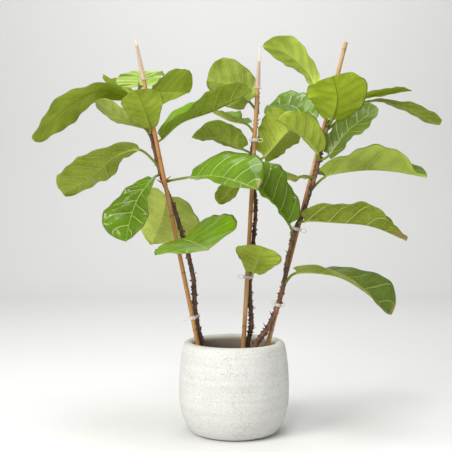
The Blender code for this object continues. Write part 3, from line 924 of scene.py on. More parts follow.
@dataclass
class Soil:
    """The potting mix: a lumpy bed inside the pot, with bark chips strewn on it."""

    pot: Pot
    top: float = 172 * MM
    edge_drop: float = 5 * MM
    lump: float = 2.2 * MM
    chips: int = 420
    chip_size: float = 3.4 * MM

    def radius(self, height: float) -> float:
        """The radius of the mix at a height, just clear of the pot."""
        return self.pot.inner(height) - 2.5 * MM

    def bed(self) -> Skin:
        """The lumpy bed, from the pot's floor to its top."""
        sides, base = 96, self.pot.floor + 0.6 * MM
        edge = self.top - self.edge_drop
        rows = [(self.radius(height), height, 0.0) for height in np.linspace(base, edge, 12)]
        for share in np.linspace(0.97, 0.04, 26):
            rows.append((self.radius(edge) * share, edge + self.edge_drop * (1 - share**2), 1.0))
        turns = circle(sides)
        rings = []
        for radius, height, loose in rows:
            ring = np.stack([radius * np.cos(turns), radius * np.sin(turns), np.full(sides, height)], axis=1)
            ring[:, 2] += loose * (mottle(ring, 60.0) * 2 - 0.7 + mottle(ring, 170.0)) * self.lump
            rings.append(ring)
        return Skin.through(np.array(rings))

    def build(self) -> None:
        """Makes the bed and strews the chips."""
        mix = PottingMix()
        bed = self.bed().mesh("soil_bed", mix.material("potting_mix", 1.0))
        hand_over(bed, "potting_mix", "soil")
        recipe = Recipe(
            "strewn_chips",
            {
                "Density": self.chips / (math.pi * self.radius(self.top) ** 2),
                "Chip Size": self.chip_size,
                "Seed": 5,
                "Finish": mix.material("bark_chips", 1.9),
            },
        )
        strew(recipe, (1.3, 0.75, 0.4))
        hand_over(recipe.run("bark_chips", self.cover()), "potting_mix")

    def cover(self) -> bpy.types.Mesh:
        """The plain sheet that the chips are strewn on."""
        cover = bpy.data.meshes.new("cover")
        sides, rings = 40, 8
        reach = self.radius(self.top) * 0.96
        points = [(0.0, 0.0, self.top - 1 * MM)]
        for ring in range(1, rings + 1):
            share = ring / rings
            level = self.top - 1.5 * MM - self.edge_drop * share**2
            for turn in circle(sides):
                points.append((reach * share * math.cos(turn), reach * share * math.sin(turn), level))
        faces = [(0, 1 + step, 1 + (step + 1) % sides) for step in range(sides)]
        for ring in range(rings - 1):
            for step in range(sides):
                after = (step + 1) % sides
                low, high = 1 + ring * sides, 1 + (ring + 1) * sides
                faces.append((low + step, high + step, high + after, low + after))
        cover.from_pydata(points, [], faces)
        return cover


def strew(recipe: Recipe, shape: Triple) -> None:
    """Scatters small rough lumps over the geometry that goes in, and closes the tree.

    Args:
        recipe: a tree with the inputs Density, Chip Size, Seed and Finish.
        shape: a lump's length, width and thickness beside its size.
    """
    seed, size = recipe.given("Seed"), recipe.given("Chip Size")
    spread = recipe.node(
        "GeometryNodeDistributePointsOnFaces",
        {"distribute_method": "RANDOM"},
        {"Mesh": recipe.given("Geometry"), "Density": recipe.given("Density"), "Seed": seed},
    )
    random = "FunctionNodeRandomValue"
    limits = {0: (0.0, 0.0, 0.0), 1: (0.9, 0.9, 6.28), "Seed": seed}
    turn = recipe.out(random, {"data_type": "FLOAT_VECTOR"}, limits)
    share = recipe.out(random, {"data_type": "FLOAT"}, {2: 0.35, 3: 1.0, "Seed": seed}, 1)
    sockets = {0: recipe.wire(spread, "Rotation"), 1: turn}
    ball = {"Radius": 0.5, "Subdivisions": 1}
    placed = recipe.out(
        "GeometryNodeInstanceOnPoints",
        None,
        {
            "Points": recipe.wire(spread, "Points"),
            "Instance": recipe.out("GeometryNodeMeshIcoSphere", None, ball, "Mesh"),
            "Rotation": recipe.out("FunctionNodeRotateRotation", {"rotation_space": "LOCAL"}, sockets),
            "Scale": recipe.scaled(shape, share * size),
        },
    )
    rough = recipe.out("ShaderNodeTexNoise", None, {"Scale": 420.0, "Detail": 1.0}, "Color")
    push = recipe.scaled(recipe.vector("SUBTRACT", rough, (0.5, 0.5, 0.5)), size * 0.5)
    recipe.close(recipe.moved(recipe.real(placed), Offset=push))


# ---------------------------------------------------------------------------------------------
# Canes, caps and clips
# ---------------------------------------------------------------------------------------------


@dataclass(frozen=True)
class Stake:
    """A straight cane from its foot in the mix to its top, in mm."""

    foot: Triple
    top: Triple
    cap_below: float = 0.0

    @property
    def heading(self) -> np.ndarray:
        """The direction from foot to top."""
        return unit(np.subtract(self.top, self.foot))

    @property
    def length(self) -> float:
        """The length in metres."""
        return float(np.linalg.norm(np.subtract(self.top, self.foot))) * MM

    def at_height(self, height: float) -> np.ndarray:
        """The point of the axis at a height in mm, in metres."""
        foot = np.array(self.foot) * MM
        return foot + self.heading * ((height * MM - foot[2]) / self.heading[2])

    def placing(self, along: float = 0.0) -> Matrix:
        """Turns +Z along the cane and moves the origin along it from its foot, in metres."""
        turn = Vector((0, 0, 1)).rotation_difference(Vector(self.heading)).to_matrix().to_4x4()
        return Matrix.Translation(Vector(np.array(self.foot) * MM + self.heading * along)) @ turn


STAKES = {
    "left": Stake((-48, -20, 40), (-213, -20, 852), 78),
    "middle": Stake((13, 10, 40), (55, 10, 822), 60),
    "right": Stake((36, 0, 40), (247, 0, 863)),
}


@dataclass
class Cane:
    """A bamboo cane with joints at even steps, sharpened where a cap covers it."""

    side: str
    stake: Stake
    radius: float = 5 * MM
    joint_spacing: float = 128 * MM
    joint_rise: float = 0.55 * MM
    point_share: float = 0.55

    def build(self, finish: bpy.types.Material) -> None:
        """Grows the cane from a cylinder and lays it along its stake."""
        length = self.stake.length
        sharp = self.stake.cap_below * MM
        recipe = Recipe(
            f"cane_{self.side}",
            {
                "Length": length,
                "Radius": self.radius,
                "Joint Spacing": self.joint_spacing,
                "Joint Rise": self.joint_rise,
                "Sharpened": max(sharp, 0.1 * MM),
                "Finish": finish,
            },
        )
        size = {"Vertices": 20, "Side Segments": 420, "Radius": 1.0, "Depth": recipe.given("Length")}
        body = recipe.out("GeometryNodeMeshCylinder", {"fill_type": "NGON"}, size, "Mesh")
        across, deep, up = recipe.position()
        level = up + recipe.given("Length") * 0.5
        step = (level / recipe.given("Joint Spacing")).fraction() - 0.5
        away = step * recipe.given("Joint Spacing") / (1.6 * MM)
        ridge = recipe.maths("EXPONENT", away * away * -1.0)
        groove_away = away - 1.5
        groove = recipe.maths("EXPONENT", groove_away * groove_away * -1.5)
        thick = recipe.given("Radius") * (1.02 - level / recipe.given("Length") * 0.14)
        if sharp:
            left = recipe.given("Length") - level
            thick = thick * (left / recipe.given("Sharpened")).ramp(0.0, 1.0, self.point_share / 0.88, 1.0)
        reach = thick + (ridge - groove * 0.7) * recipe.given("Joint Rise")
        recipe.close(recipe.moved(body, Position=recipe.point(across * reach, deep * reach, level)))
        cane = recipe.run(f"cane_{self.side}")
        levels = np.array([vert.co.z for vert in cane.data.vertices])
        away_mm = (np.mod(levels / self.joint_spacing, 1.0) - 0.5) * self.joint_spacing / MM
        carry(cane.data, "joint", np.exp(-((away_mm - 1.6) ** 2) / 3.0))
        cane.data.set_sharp_from_angle(angle=math.radians(50))
        cane.data.transform(self.stake.placing())
        hand_over(cane, "bamboo", f"stake_{self.side}")


@dataclass
class Cap:
    """A clear cap on a cane's sharpened top: a round flange and a long hollow cone."""

    side: str
    stake: Stake
    length: float = 97 * MM
    cane_radius: float = 5 * MM
    flange_radius: float = 9.6 * MM
    flange_height: float = 3 * MM
    base_radius: float = 7.2 * MM
    tip_radius: float = 3.0 * MM
    clearance: float = 0.3 * MM

    def build(self, finish: bpy.types.Material) -> None:
        """Turns the cap's outline about the cane."""
        covered = self.stake.cap_below * MM
        bore = self.cane_radius * 0.88 + self.clearance
        bore_top = self.cane_radius * 0.55 + self.clearance
        rim, flange, edge = self.flange_radius, self.flange_height, 0.6 * MM
        rows = [(covered + 1.5 * MM, 0.3 * MM), (covered + 1.2 * MM, bore_top)]
        rows += [(covered * part, bore_top + (bore - bore_top) * (1 - part)) for part in (0.66, 0.33)]
        rows += [(0.0, bore), (0.0, rim - edge), (edge, rim), (flange - edge, rim), (flange, rim - edge)]
        rows += [(flange, self.base_radius + 0.5 * MM), (flange + 1.2 * MM, self.base_radius)]
        for part in (0.2, 0.4, 0.6, 0.8, 0.97):
            radius = self.base_radius + (self.tip_radius - self.base_radius) * part
            rows.append((self.length * part, radius))
        rows.append((self.length - 0.2 * MM, self.tip_radius * 0.6))
        turns = circle(28)
        rings = np.array(
            [[(radius * math.cos(t), radius * math.sin(t), level) for t in turns] for level, radius in rows]
        )
        cap = Skin.through(rings).mesh(f"cane_cap_{self.side}", finish, 40)
        cap.data.transform(self.stake.placing(self.stake.length - covered))
        hand_over(cap, "clear_plastic", f"stake_cap_{self.side}")


@dataclass
class Clip:
    """A clear clip: an oval collar round stem and cane, with two finger loops at the cane's end."""

    side: str
    number: int
    height: float
    tall: float = 7 * MM
    wall: float = 1.3 * MM
    room: float = 2.2 * MM
    loop_length: float = 13 * MM
    loop_width: float = 8 * MM
    wire: float = 0.8 * MM
    cane_radius: float = 5 * MM

    def build(
        self, stake: Stake, on_stem: np.ndarray, stem_radius: float, finish: bpy.types.Material
    ) -> None:
        """Bends the collar and its loops and hands them over as one piece.

        Args:
            stake: the cane.
            on_stem: the stem's middle at this height.
            stem_radius: the stem's radius there.
            finish: the plastic.
        """
        heading = stake.heading
        on_stake = stake.at_height(self.height)
        along = on_stem - on_stake
        along = along - heading * float(along @ heading)
        spread = float(np.linalg.norm(along))
        along = along / spread
        beside = np.cross(heading, along)
        outline = []
        around_cane, around_stem = self.cane_radius + self.room, stem_radius + self.room
        for middle, start, reach in ((0.0, 0.5, around_cane), (spread, -0.5, around_stem)):
            for turn in math.pi * (start + np.arange(13) / 12):
                x, y = math.cos(turn), math.sin(turn)
                outline.append((middle + x * reach, y * reach, x, y))
        half, thick, edge = self.tall / 2, self.wall, 0.4 * MM
        section = [(0.0, -half + edge), (0.0, half - edge), (edge, half), (thick - edge, half)]
        section += [(thick, half - edge), (thick, -half + edge), (thick - edge, -half), (edge, -half)]
        rings = []
        for forward, sideways, out_x, out_y in outline:
            base = on_stake + along * forward + beside * sideways
            out = along * out_x + beside * out_y
            rings.append([base + out * depth + heading * level for depth, level in section])
        skin = Skin.around(np.array(rings))
        for lean in (1, -1):
            skin = skin.joined(self.loop(on_stake, along, beside * lean, heading))
        clip = skin.mesh(f"stem_clip_{self.side}_{self.number}", finish, 45)
        hand_over(clip, "clear_plastic", f"clip_{self.side}_{self.number}")

    def loop(self, on_stake: np.ndarray, along: np.ndarray, beside: np.ndarray, heading: np.ndarray) -> Skin:
        """One finger loop: a flat oval ring that leans away from the collar."""
        way = unit(-along * 0.75 + beside * 0.8)
        start = on_stake + way * (self.cane_radius + self.room + self.wall * 0.6)
        middle = start + way * self.loop_length / 2
        face = np.cross(way, heading)
        rings = []
        for turn in circle(26):
            out = way * math.cos(turn) * self.loop_length / 2 + heading * math.sin(turn) * self.loop_width / 2
            outward = unit(out) * self.wire
            edge = face * self.wire * 0.8
            centre = middle + out
            rings.append([centre + outward * math.cos(spin) + edge * math.sin(spin) for spin in circle(8)])
        return Skin.around(np.array(rings))


# ---------------------------------------------------------------------------------------------
# Stems
# ---------------------------------------------------------------------------------------------


@dataclass
class Stem:
    """A woody stem with swollen nodes, rough bark, dead scales and a bud at its end."""

    side: str
    points: tuple[Triple, ...]
    foot_radius: float
    top_radius: float
    bark: Colour
    bud_start: float = 0.955
    ring_step: float = 2.2 * MM
    sides: int = 20
    scales: int = 260

    def __post_init__(self) -> None:
        """Draws the stem's route once."""
        self.route = Route(self.points)

    def radius(self, share: np.ndarray) -> np.ndarray:
        """The plain radius at shares of the length, in metres."""
        radius = self.foot_radius + (self.top_radius - self.foot_radius) * share
        past = np.clip((share - self.bud_start) / (1 - self.bud_start), 0.0, 1.0)
        return radius * (1 - 0.78 * past) * MM

    def at_height(self, height: float) -> tuple[np.ndarray, np.ndarray, float]:
        """Centre, direction and radius at a height in mm."""
        shares = np.arange(401) / 400
        centres = self.route.at(shares)
        index = int(np.argmin(np.abs(centres[:, 2] - height * MM)))
        near = min(max(index, 1), 399)
        heading = unit(centres[near + 1] - centres[near - 1])
        return centres[index], heading, float(self.radius(shares[index : index + 1])[0])

    def build(self, finish: bpy.types.Material, nodes: Iterable[float]) -> None:
        """Sweeps the stem and scatters scales of dead bark on it.

        Args:
            finish: the bark.
            nodes: heights of the leaves, in mm, where the stem swells.
        """
        count = int(self.route.length / self.ring_step)
        shares = np.linspace(0.0, 1.0, count)
        centres = self.route.at(shares)
        radii = self.radius(shares)
        scar = np.zeros(count)
        levels = centres[:, 2] / MM
        grown = [*nodes, *np.arange(200.0, max(levels) - 20, 27.0)]
        for height in grown:
            bulge = np.exp(-(((levels - height) / 3.2) ** 2))
            radii = radii + 0.7 * MM * bulge
            scar = np.maximum(scar, np.exp(-(((levels - height - 2.5) / 1.3) ** 2)))
        rings = tube(centres, radii, self.sides)
        flat = rings.reshape(-1, 3)
        rough = mottle(flat, 260.0) * 0.9 * MM + mottle(flat, 90.0, 7.0) * 0.8 * MM
        keep = 1 - ease(shares, 0.9, 1.0)
        radii = radii[:, None] + rough.reshape(count, -1) * keep[:, None]
        rings = tube(centres, radii, self.sides)
        young = ease(shares, 0.86, 0.98)[:, None, None]
        tint = np.array(self.bark) * (1 - young) + np.array((0.20, 0.19, 0.05)) * young
        tint = np.broadcast_to(tint, rings.shape)
        scars = np.broadcast_to(scar[:, None], rings.shape[:2])
        stem = Skin.through(rings, tint=tint, scar=scars).mesh(f"woody_stem_{self.side}", finish)
        self.add_scales(stem.data, finish)
        hand_over(stem, "bark", f"stem_{self.side}")

    def add_scales(self, data: bpy.types.Mesh, finish: bpy.types.Material) -> None:
        """Scatters small dark scales of dead bark over the stem."""
        area = sum(face.area for face in data.polygons)
        recipe = Recipe(
            f"bark_scales_{self.side}",
            {"Density": self.scales / area, "Chip Size": 8.0 * MM, "Seed": 11, "Finish": finish},
        )
        strew(recipe, (0.35, 0.9, 1.1))
        scales = recipe.run(f"bark_scales_{self.side}", data.copy())
        count = len(scales.data.vertices)
        for name in ("tint", "scar"):
            if name in scales.data.attributes:
                scales.data.attributes.remove(scales.data.attributes[name])
        carry(scales.data, "tint", np.tile(np.array(self.bark) * 0.6, (count, 1)))
        hand_over(scales, "bark")


STEMS = {
    "left": Stem(
        "left",
        (
            (-55, -8, 110), (-64, -8, 180), (-78, -7, 222), (-87, -6, 280), (-90, -6, 338),
            (-105, -6, 405), (-121, -6, 460), (-136, -6, 505), (-158, -6, 560), (-171, -6, 605),
            (-184, -6, 658), (-198, -7, 715), (-207, -7, 750), (-211, -7, 776),
        ),
        5.6, 3.6, (0.13, 0.065, 0.04),
    ),
    "middle": Stem(
        "middle",
        (
            (24, 24, 110), (31, 24, 190), (39, 23, 232), (37, 23, 280), (36, 23, 335),
            (43, 23, 420), (48, 23, 475), (47, 23, 525), (39, 23, 605), (46, 23, 665),
            (52, 23, 716), (56, 23, 756),
        ),
        5.4, 3.4, (0.12, 0.058, 0.04),
    ),
    "right": Stem(
        "right",
        (
            (20, -14, 110), (46, -14, 190), (66, -14, 220), (82, -14, 246), (97, -14, 282),
            (110, -13, 330), (117, -13, 378), (124, -13, 409), (134, -13, 450), (148, -13, 475),
            (163, -13, 520), (177, -12, 562), (190, -12, 618), (203, -12, 668), (209, -12, 692),
        ),
        5.8, 3.8, (0.17, 0.08, 0.045),
    ),
}

CLIPS = {"left": (256, 412), "middle": (343, 648), "right": (283, 450)}


@dataclass(frozen=True)
class Stipule:
    """A dried papery tongue left at a node: its stem, height, way, length and width in mm."""

    stem: str
    height: float
    way: Triple
    length: float
    width: float
    colour: Colour = (0.42, 0.20, 0.07)

    def skin(self) -> Skin:
        """A thin curved tongue that starts in the bark."""
        centre, _, radius = STEMS[self.stem].at_height(self.height)
        way = unit(np.array(self.way, float))
        flat = unit(way - np.array((0.0, 0.0, way[2])))
        beside = np.cross((0.0, 0.0, 1.0), flat)
        rings = []
        for share in np.linspace(0.0, 1.0, 9):
            lift = np.array((0.0, 0.0, 0.35 * self.length * share**2)) * MM
            middle = centre + flat * radius * 0.6 + way * self.length * MM * share + lift
            half = self.width * MM / 2 * (1 - share**1.6) + 0.3 * MM
            thick = 0.45 * MM
            up = unit(np.cross(way, beside))
            ring = []
            for turn in circle(10):
                curl = up * (math.cos(turn) ** 2) * half * 0.5
                ring.append(middle + beside * math.cos(turn) * half + up * math.sin(turn) * thick + curl)
            rings.append(ring)
        rings = np.array(rings)
        tint = np.broadcast_to(np.array(self.colour), rings.shape)
        return Skin.through(rings, tint=tint, scar=np.zeros(rings.shape[:2]))


DARK_SCALE = (0.10, 0.05, 0.035)
STIPULES = (
    Stipule("left", 553, (-1.0, -0.7, 0.1), 17, 13),
    Stipule("left", 556, (1.0, -0.6, 0.35), 19, 12),
    Stipule("left", 548, (0.8, -0.9, -0.2), 10, 8, (0.55, 0.33, 0.15)),
    Stipule("right", 640, (-1.0, -0.4, 0.6), 14, 7, (0.16, 0.06, 0.03)),
    Stipule("right", 612, (-0.5, -1.0, 0.4), 11, 9, (0.10, 0.055, 0.03)),
    Stipule("middle", 690, (1.0, -0.6, 0.6), 9, 6, DARK_SCALE),
    Stipule("middle", 590, (-1.0, -0.8, 0.3), 9, 6, DARK_SCALE),
    Stipule("middle", 268, (1.0, -0.5, 0.35), 11, 5, DARK_SCALE),
    Stipule("middle", 240, (-1.0, -0.5, 0.5), 9, 5, DARK_SCALE),
    Stipule("middle", 214, (-1.0, -0.6, 0.6), 8, 5, DARK_SCALE),
    Stipule("middle", 222, (1.0, -0.6, 0.5), 10, 5, DARK_SCALE),
    Stipule("right", 232, (-0.8, -0.6, 1.0), 12, 5, DARK_SCALE),
    Stipule("right", 256, (-0.7, -0.6, 1.2), 13, 5, DARK_SCALE),
    Stipule("right", 262, (1.0, -0.6, 0.3), 9, 5, DARK_SCALE),
    Stipule("left", 300, (1.0, -0.6, 0.5), 9, 5, DARK_SCALE),
    Stipule("left", 350, (1.0, -0.5, 0.4), 8, 5, DARK_SCALE),
    Stipule("right", 398, (-1.0, -0.6, 0.5), 8, 6, DARK_SCALE),
)


# ---------------------------------------------------------------------------------------------
# Leaves
# ---------------------------------------------------------------------------------------------

# Half width along a fiddle-shaped blade: eared base, narrow waist, broad end
FIDDLE = (
    (0.0, 0.05), (0.03, 0.27), (0.07, 0.42), (0.14, 0.51), (0.27, 0.56), (0.42, 0.7),
    (0.57, 0.92), (0.7, 1.0), (0.82, 0.93), (0.92, 0.68), (0.98, 0.34), (1.0, 0.06),
)
# Half width along a blade without a waist
OVAL = (
    (0.0, 0.05), (0.03, 0.3), (0.07, 0.5), (0.14, 0.72), (0.27, 0.92), (0.42, 1.0),
    (0.57, 1.0), (0.7, 0.94), (0.82, 0.79), (0.92, 0.53), (0.98, 0.27), (1.0, 0.06),
)


@dataclass(frozen=True)
class LeafRow:
    """One leaf: where it leaves its stem, its way, its set and its colours, in mm and degrees.

    blade runs from the blade's base to its tip, and petiole holds any points before it.
    faces gives the direction the upper side looks in, at the base and at the tip.
    fold gives how far the left and the right half are raised, seen from base to tip, and curl how
    much further each turns on the way to its margin. oval is 0 for a fiddle-shaped outline and 1
    for one without a waist. light makes both sides lighter or darker, as painted light and shade for
    how brightly the leaf is lit. gloss is the upper side's roughness and coat its wax. dry is the
    share of the blade that has browned at its tip, and marks are brown spots, as (share of the length,
    share of the half width, size). veined is how clearly the veins show, and below zero the midrib is
    painted dark instead of pale, as the shadow of the raised rib. ear is how far the base's
    lobes reach back past the petiole, taper narrows the base, and point narrows the tip. fold_tip is
    the fold at the tip where it differs from the base's, and turning the shares where it changes.
    """

    name: str
    stem: str
    height: float
    blade: tuple[Triple, ...]
    width: float
    faces: tuple[Triple, Triple]
    fold: tuple[float, float] = (15, 15)
    petiole: tuple[Triple, ...] = ()
    oval: float = 0.0
    upper: Green = Green.FERN
    under: Green = Green.OLIVE
    light: float = 1.0
    gloss: float = 0.36
    curl: tuple[float, float] = (0, 0)
    wave: float = 1.0
    veined: float = 0.6
    dry: float = 0.0
    marks: tuple[tuple[float, float, float], ...] = ()
    coat: float = 0.0
    ear: float = 9.0
    taper: float = 0.0
    point: float = 0.0
    fold_tip: tuple[float, float] | None = None
    turning: tuple[float, float] = (0.25, 0.9)


LEAVES = (
    # Left stem, from the top down
    LeafRow("left_01", "left", 757,
            ((-231, -22, 742), (-292, -34, 753), (-365, -45, 714), (-432, -50, 642)), 114,
            ((0.0, 0.42, 0.9), (-0.55, 0.42, 0.7)), (-8, -2), oval=0.5, veined=-0.6, taper=0.3,
            fold_tip=(-16, 2)),
    LeafRow("left_02", "left", 762, ((-190, 25, 756), (-150, 80, 766), (-106, 135, 770)), 128,
            ((-0.5, 0.3, 0.8), (-0.5, 0.3, 0.8)), (12, 12), oval=1.0, light=1.8, veined=0.35, wave=0.4),
    LeafRow("left_03", "left", 744, ((-216, 28, 752), (-252, 78, 769), (-276, 128, 772)), 112,
            ((0.4, 0.22, 0.85), (0.4, 0.22, 0.85)), (5, 5), oval=0.4, light=1.55, veined=0.3),
    LeafRow("left_04", "left", 768, ((-205, 8, 768), (-210, 22, 786), (-213, 30, 805)), 110,
            ((0.0, -0.85, 0.5), (0.0, -0.95, 0.3)), (5, 5), oval=1.0, upper=Green.YOUNG,
            under=Green.YOUNG, gloss=0.5, veined=0.1, light=1.05),
    LeafRow("left_05", "left", 664, ((-183, -30, 673), (-190, -80, 706), (-203, -130, 741)), 92,
            ((-0.1, 0.72, 0.68), (-0.1, 0.72, 0.68)), (6, 6), oval=0.3, light=1.4, veined=-0.3,
            taper=0.3),
    LeafRow("left_06", "left", 656, ((-201, -2, 676), (-244, -26, 690), (-298, -46, 730)), 104,
            ((0.15, 0.18, 0.96), (0.2, 0.25, 0.94)), (4, 4), oval=0.4, under=Green.SAGE, veined=0.3,
            wave=0.3),
    LeafRow("left_07", "left", 648, ((-160, -2, 650), (-115, -6, 687), (-44, -16, 711), (39, -30, 750)),
            112, ((-0.4, -0.3, 0.85), (-0.35, 0.3, 0.85)), (58, 38), petiole=((-172, 2, 643),),
            under=Green.MOSS, light=1.2, veined=0.35),
    LeafRow("left_08", "left", 594, ((-208, -26, 625), (-262, -25, 610), (-312, 0, 572), (-386, 40, 528)),
            128, ((-0.3, 0.6, 0.75), (-0.5, 0.6, 0.6)), (10, 16), oval=0.4, light=1.15, veined=0.5,
            taper=0.5, ear=3),
    LeafRow("left_09", "left", 574,
            ((-176, -32, 562), (-204, -62, 522), (-220, -85, 476), (-228, -108, 428)), 122,
            ((-0.35, -0.8, 0.45), (-0.1, -0.95, 0.3)), (36, 10), upper=Green.GRASS, light=0.8, gloss=0.3,
            veined=0.75, curl=(-10, -22), coat=0.5, taper=0.35),
    LeafRow("left_10", "left", 556, ((-96, -38, 564), (-41, -70, 565), (3, -98, 553), (48, -125, 536)),
            168, ((0.0, -0.8, 0.6), (0.1, -0.85, 0.55)), (4, 42), oval=0.6, wave=0.5,
            petiole=((-140, -8, 558),), gloss=0.3, veined=0.85, curl=(-16, 10), coat=0.6, taper=0.3,
            marks=((0.95, 0.1, 9), (0.97, -0.45, 8))),
    LeafRow("left_11", "left", 545, ((-152, 26, 524), (-168, 75, 472), (-192, 125, 411)), 200,
            ((0.0, 0.9, 0.45), (0.0, 0.9, 0.45)), (42, 4), oval=0.8, under=Green.SAGE, veined=0.55,
            taper=0.3, marks=((0.4, 0.75, 6), (0.5, -0.9, 5))),
    LeafRow("left_12", "left", 430, ((-110, -50, 430), (-82, -110, 424), (-54, -180, 414)), 196,
            ((-0.3, -0.2, 0.95), (-0.3, -0.35, 0.9)), (24, 10), oval=0.7, upper=Green.GRASS, light=1.2,
            gloss=0.3, veined=0.75, dry=0.04, curl=(10, 0), fold_tip=(8, 14), coat=0.6, wave=0.4),
    # Middle stem
    LeafRow("middle_01", "middle", 716, ((34, 28, 736), (-4, 45, 774), (-62, 62, 788)), 120,
            ((-0.2, 0.8, 0.5), (-0.2, 0.8, 0.5)), (5, 5), oval=0.6, under=Green.LIME, light=0.9,
            veined=0.35),
    LeafRow("middle_02", "middle", 668, ((28, 50, 688), (-8, 95, 700), (-45, 150, 722)), 92,
            ((0.1, 0.05, 1.0), (0.1, 0.05, 1.0)), (28, 28), under=Green.SAGE),
    LeafRow("middle_03", "middle", 622, ((18, 0, 628), (-38, -22, 652), (-92, -35, 651)), 100,
            ((0.2, 0.55, 0.8), (0.2, 0.55, 0.8)), (14, 24), oval=0.8, under=Green.MOSS, light=1.3,
            veined=0.3, point=0.3, wave=0.5),
    LeafRow("middle_04", "middle", 606, ((68, 30, 612), (114, 34, 661), (148, 34, 696)), 140,
            ((-0.37, 0.85, 0.37), (-0.37, 0.85, 0.37)), (30, 30), oval=0.3, light=1.5, veined=0.8),
    LeafRow("middle_05", "middle", 530, ((30, 45, 560), (-2, 65, 545), (-36, 75, 508)), 58,
            ((-0.1, 0.6, 0.7), (-0.3, 0.6, 0.5)), (6, 6)),
    LeafRow("middle_06", "middle", 352, ((42, -22, 356), (50, -60, 389), (54, -95, 418)), 104,
            ((0.12, 0.72, 0.7), (0.12, 0.72, 0.7)), (-6, 6), petiole=((40, 4, 350),), oval=0.3,
            light=1.55, veined=0.3, taper=0.3, wave=0.4),
    # Right stem
    LeafRow("right_01", "right", 688, ((188, 8, 744), (168, 38, 803), (122, 54, 848), (66, 62, 866)), 94,
            ((0.4, 0.5, 0.75), (0.4, 0.5, 0.75)), (10, 10), petiole=((192, -10, 712),), oval=0.3,
            under=Green.LIME, light=1.15, veined=0.35, taper=0.4),
    LeafRow("right_02", "right", 682, ((214, -30, 690), (220, -72, 730), (203, -128, 770)), 134,
            ((0.0, 0.8, 0.6), (0.0, 0.65, 0.75)), (7, 7), oval=0.8, under=Green.CHARTREUSE, light=1.05,
            veined=-0.7, taper=0.25),
    LeafRow("right_03", "right", 680, ((242, 20, 732), (300, 50, 748), (355, 75, 761), (412, 95, 770)),
            96, ((-0.1, 0.2, 1.0), (-0.1, 0.1, 1.0)), (5, 5), oval=0.5, light=1.1, wave=0.5, point=0.5),
    LeafRow("right_04", "right", 672, ((300, 50, 738), (380, 72, 733), (430, 78, 713), (476, 80, 690)),
            100, ((0.1, 0.0, 1.0), (0.4, 0.15, 0.9)), (4, 4), light=0.82, wave=0.5),
    LeafRow("right_05", "right", 655, ((168, 44, 694), (138, 97, 733), (84, 148, 741)), 120,
            ((0.05, -0.7, 0.7), (0.05, -0.7, 0.7)), (8, 8), petiole=((180, -10, 660), (174, 10, 668)),
            oval=0.4, gloss=0.35, veined=0.6, coat=0.6),
    LeafRow("right_06", "right", 606, ((206, -34, 612), (246, -42, 664), (308, -50, 714)), 108,
            ((-0.5, -0.6, 0.65), (-0.5, -0.6, 0.65)), (14, 14), oval=0.4, upper=Green.PINE, light=1.2,
            veined=0.8, gloss=0.4, coat=0.3),
    LeafRow("right_07", "right", 606, ((182, -32, 616), (148, -58, 650), (92, -85, 684)), 96,
            ((0.42, 0.7, 0.53), (0.42, 0.7, 0.53)), (40, 44), oval=0.8, light=1.55, veined=0.25),
    LeafRow("right_08", "right", 540,
            ((202, 0, 566), (250, 12, 577), (310, 18, 582), (380, 20, 576), (430, 10, 566)), 126,
            ((-0.1, 0.2, 1.0), (0.3, 0.1, 0.95)), (46, 52), oval=0.7, light=1.42, upper=Green.SHADED_PINE,
            under=Green.LIME, veined=0.6, ear=26, fold_tip=(60, -6), turning=(0.7, 0.9), point=0.2),
    LeafRow("right_09", "right", 566, ((148, 42, 568), (125, 90, 570), (88, 148, 566)), 118,
            ((0.0, 0.42, 0.9), (0.0, 0.42, 0.9)), (10, 10), petiole=((162, -12, 567), (155, 10, 569)),
            oval=0.5, under=Green.SAGE, veined=0.3),
    LeafRow("right_10", "right", 440, ((120, -30, 462), (97, -30, 494), (54, -30, 540), (16, -34, 580)),
            136, ((0.37, -0.82, 0.43), (0.37, -0.82, 0.43)), (50, 35), oval=0.5, gloss=0.32, veined=0.8,
            coat=0.5),
    LeafRow("right_11", "right", 462,
            ((154, -26, 468), (216, -34, 466), (298, -40, 458), (374, -42, 427)), 118,
            ((-0.05, 0.25, 1.0), (0.3, -0.15, 0.95)), (42, 48), oval=0.9, light=0.85, veined=0.65,
            dry=0.15, ear=20, point=0.45),
    LeafRow("right_12", "right", 330,
            ((138, -34, 356), (218, -50, 352), (276, -62, 322), (337, -72, 270)), 136,
            ((-0.1, 0.1, 1.0), (0.45, -0.85, 0.45)), (5, 32), upper=Green.PINE, light=0.82,
            under=Green.SAGE, gloss=0.34, veined=0.5, dry=0.02, ear=16, fold_tip=(8, 42), coat=0.4,
            wave=0.5),
)


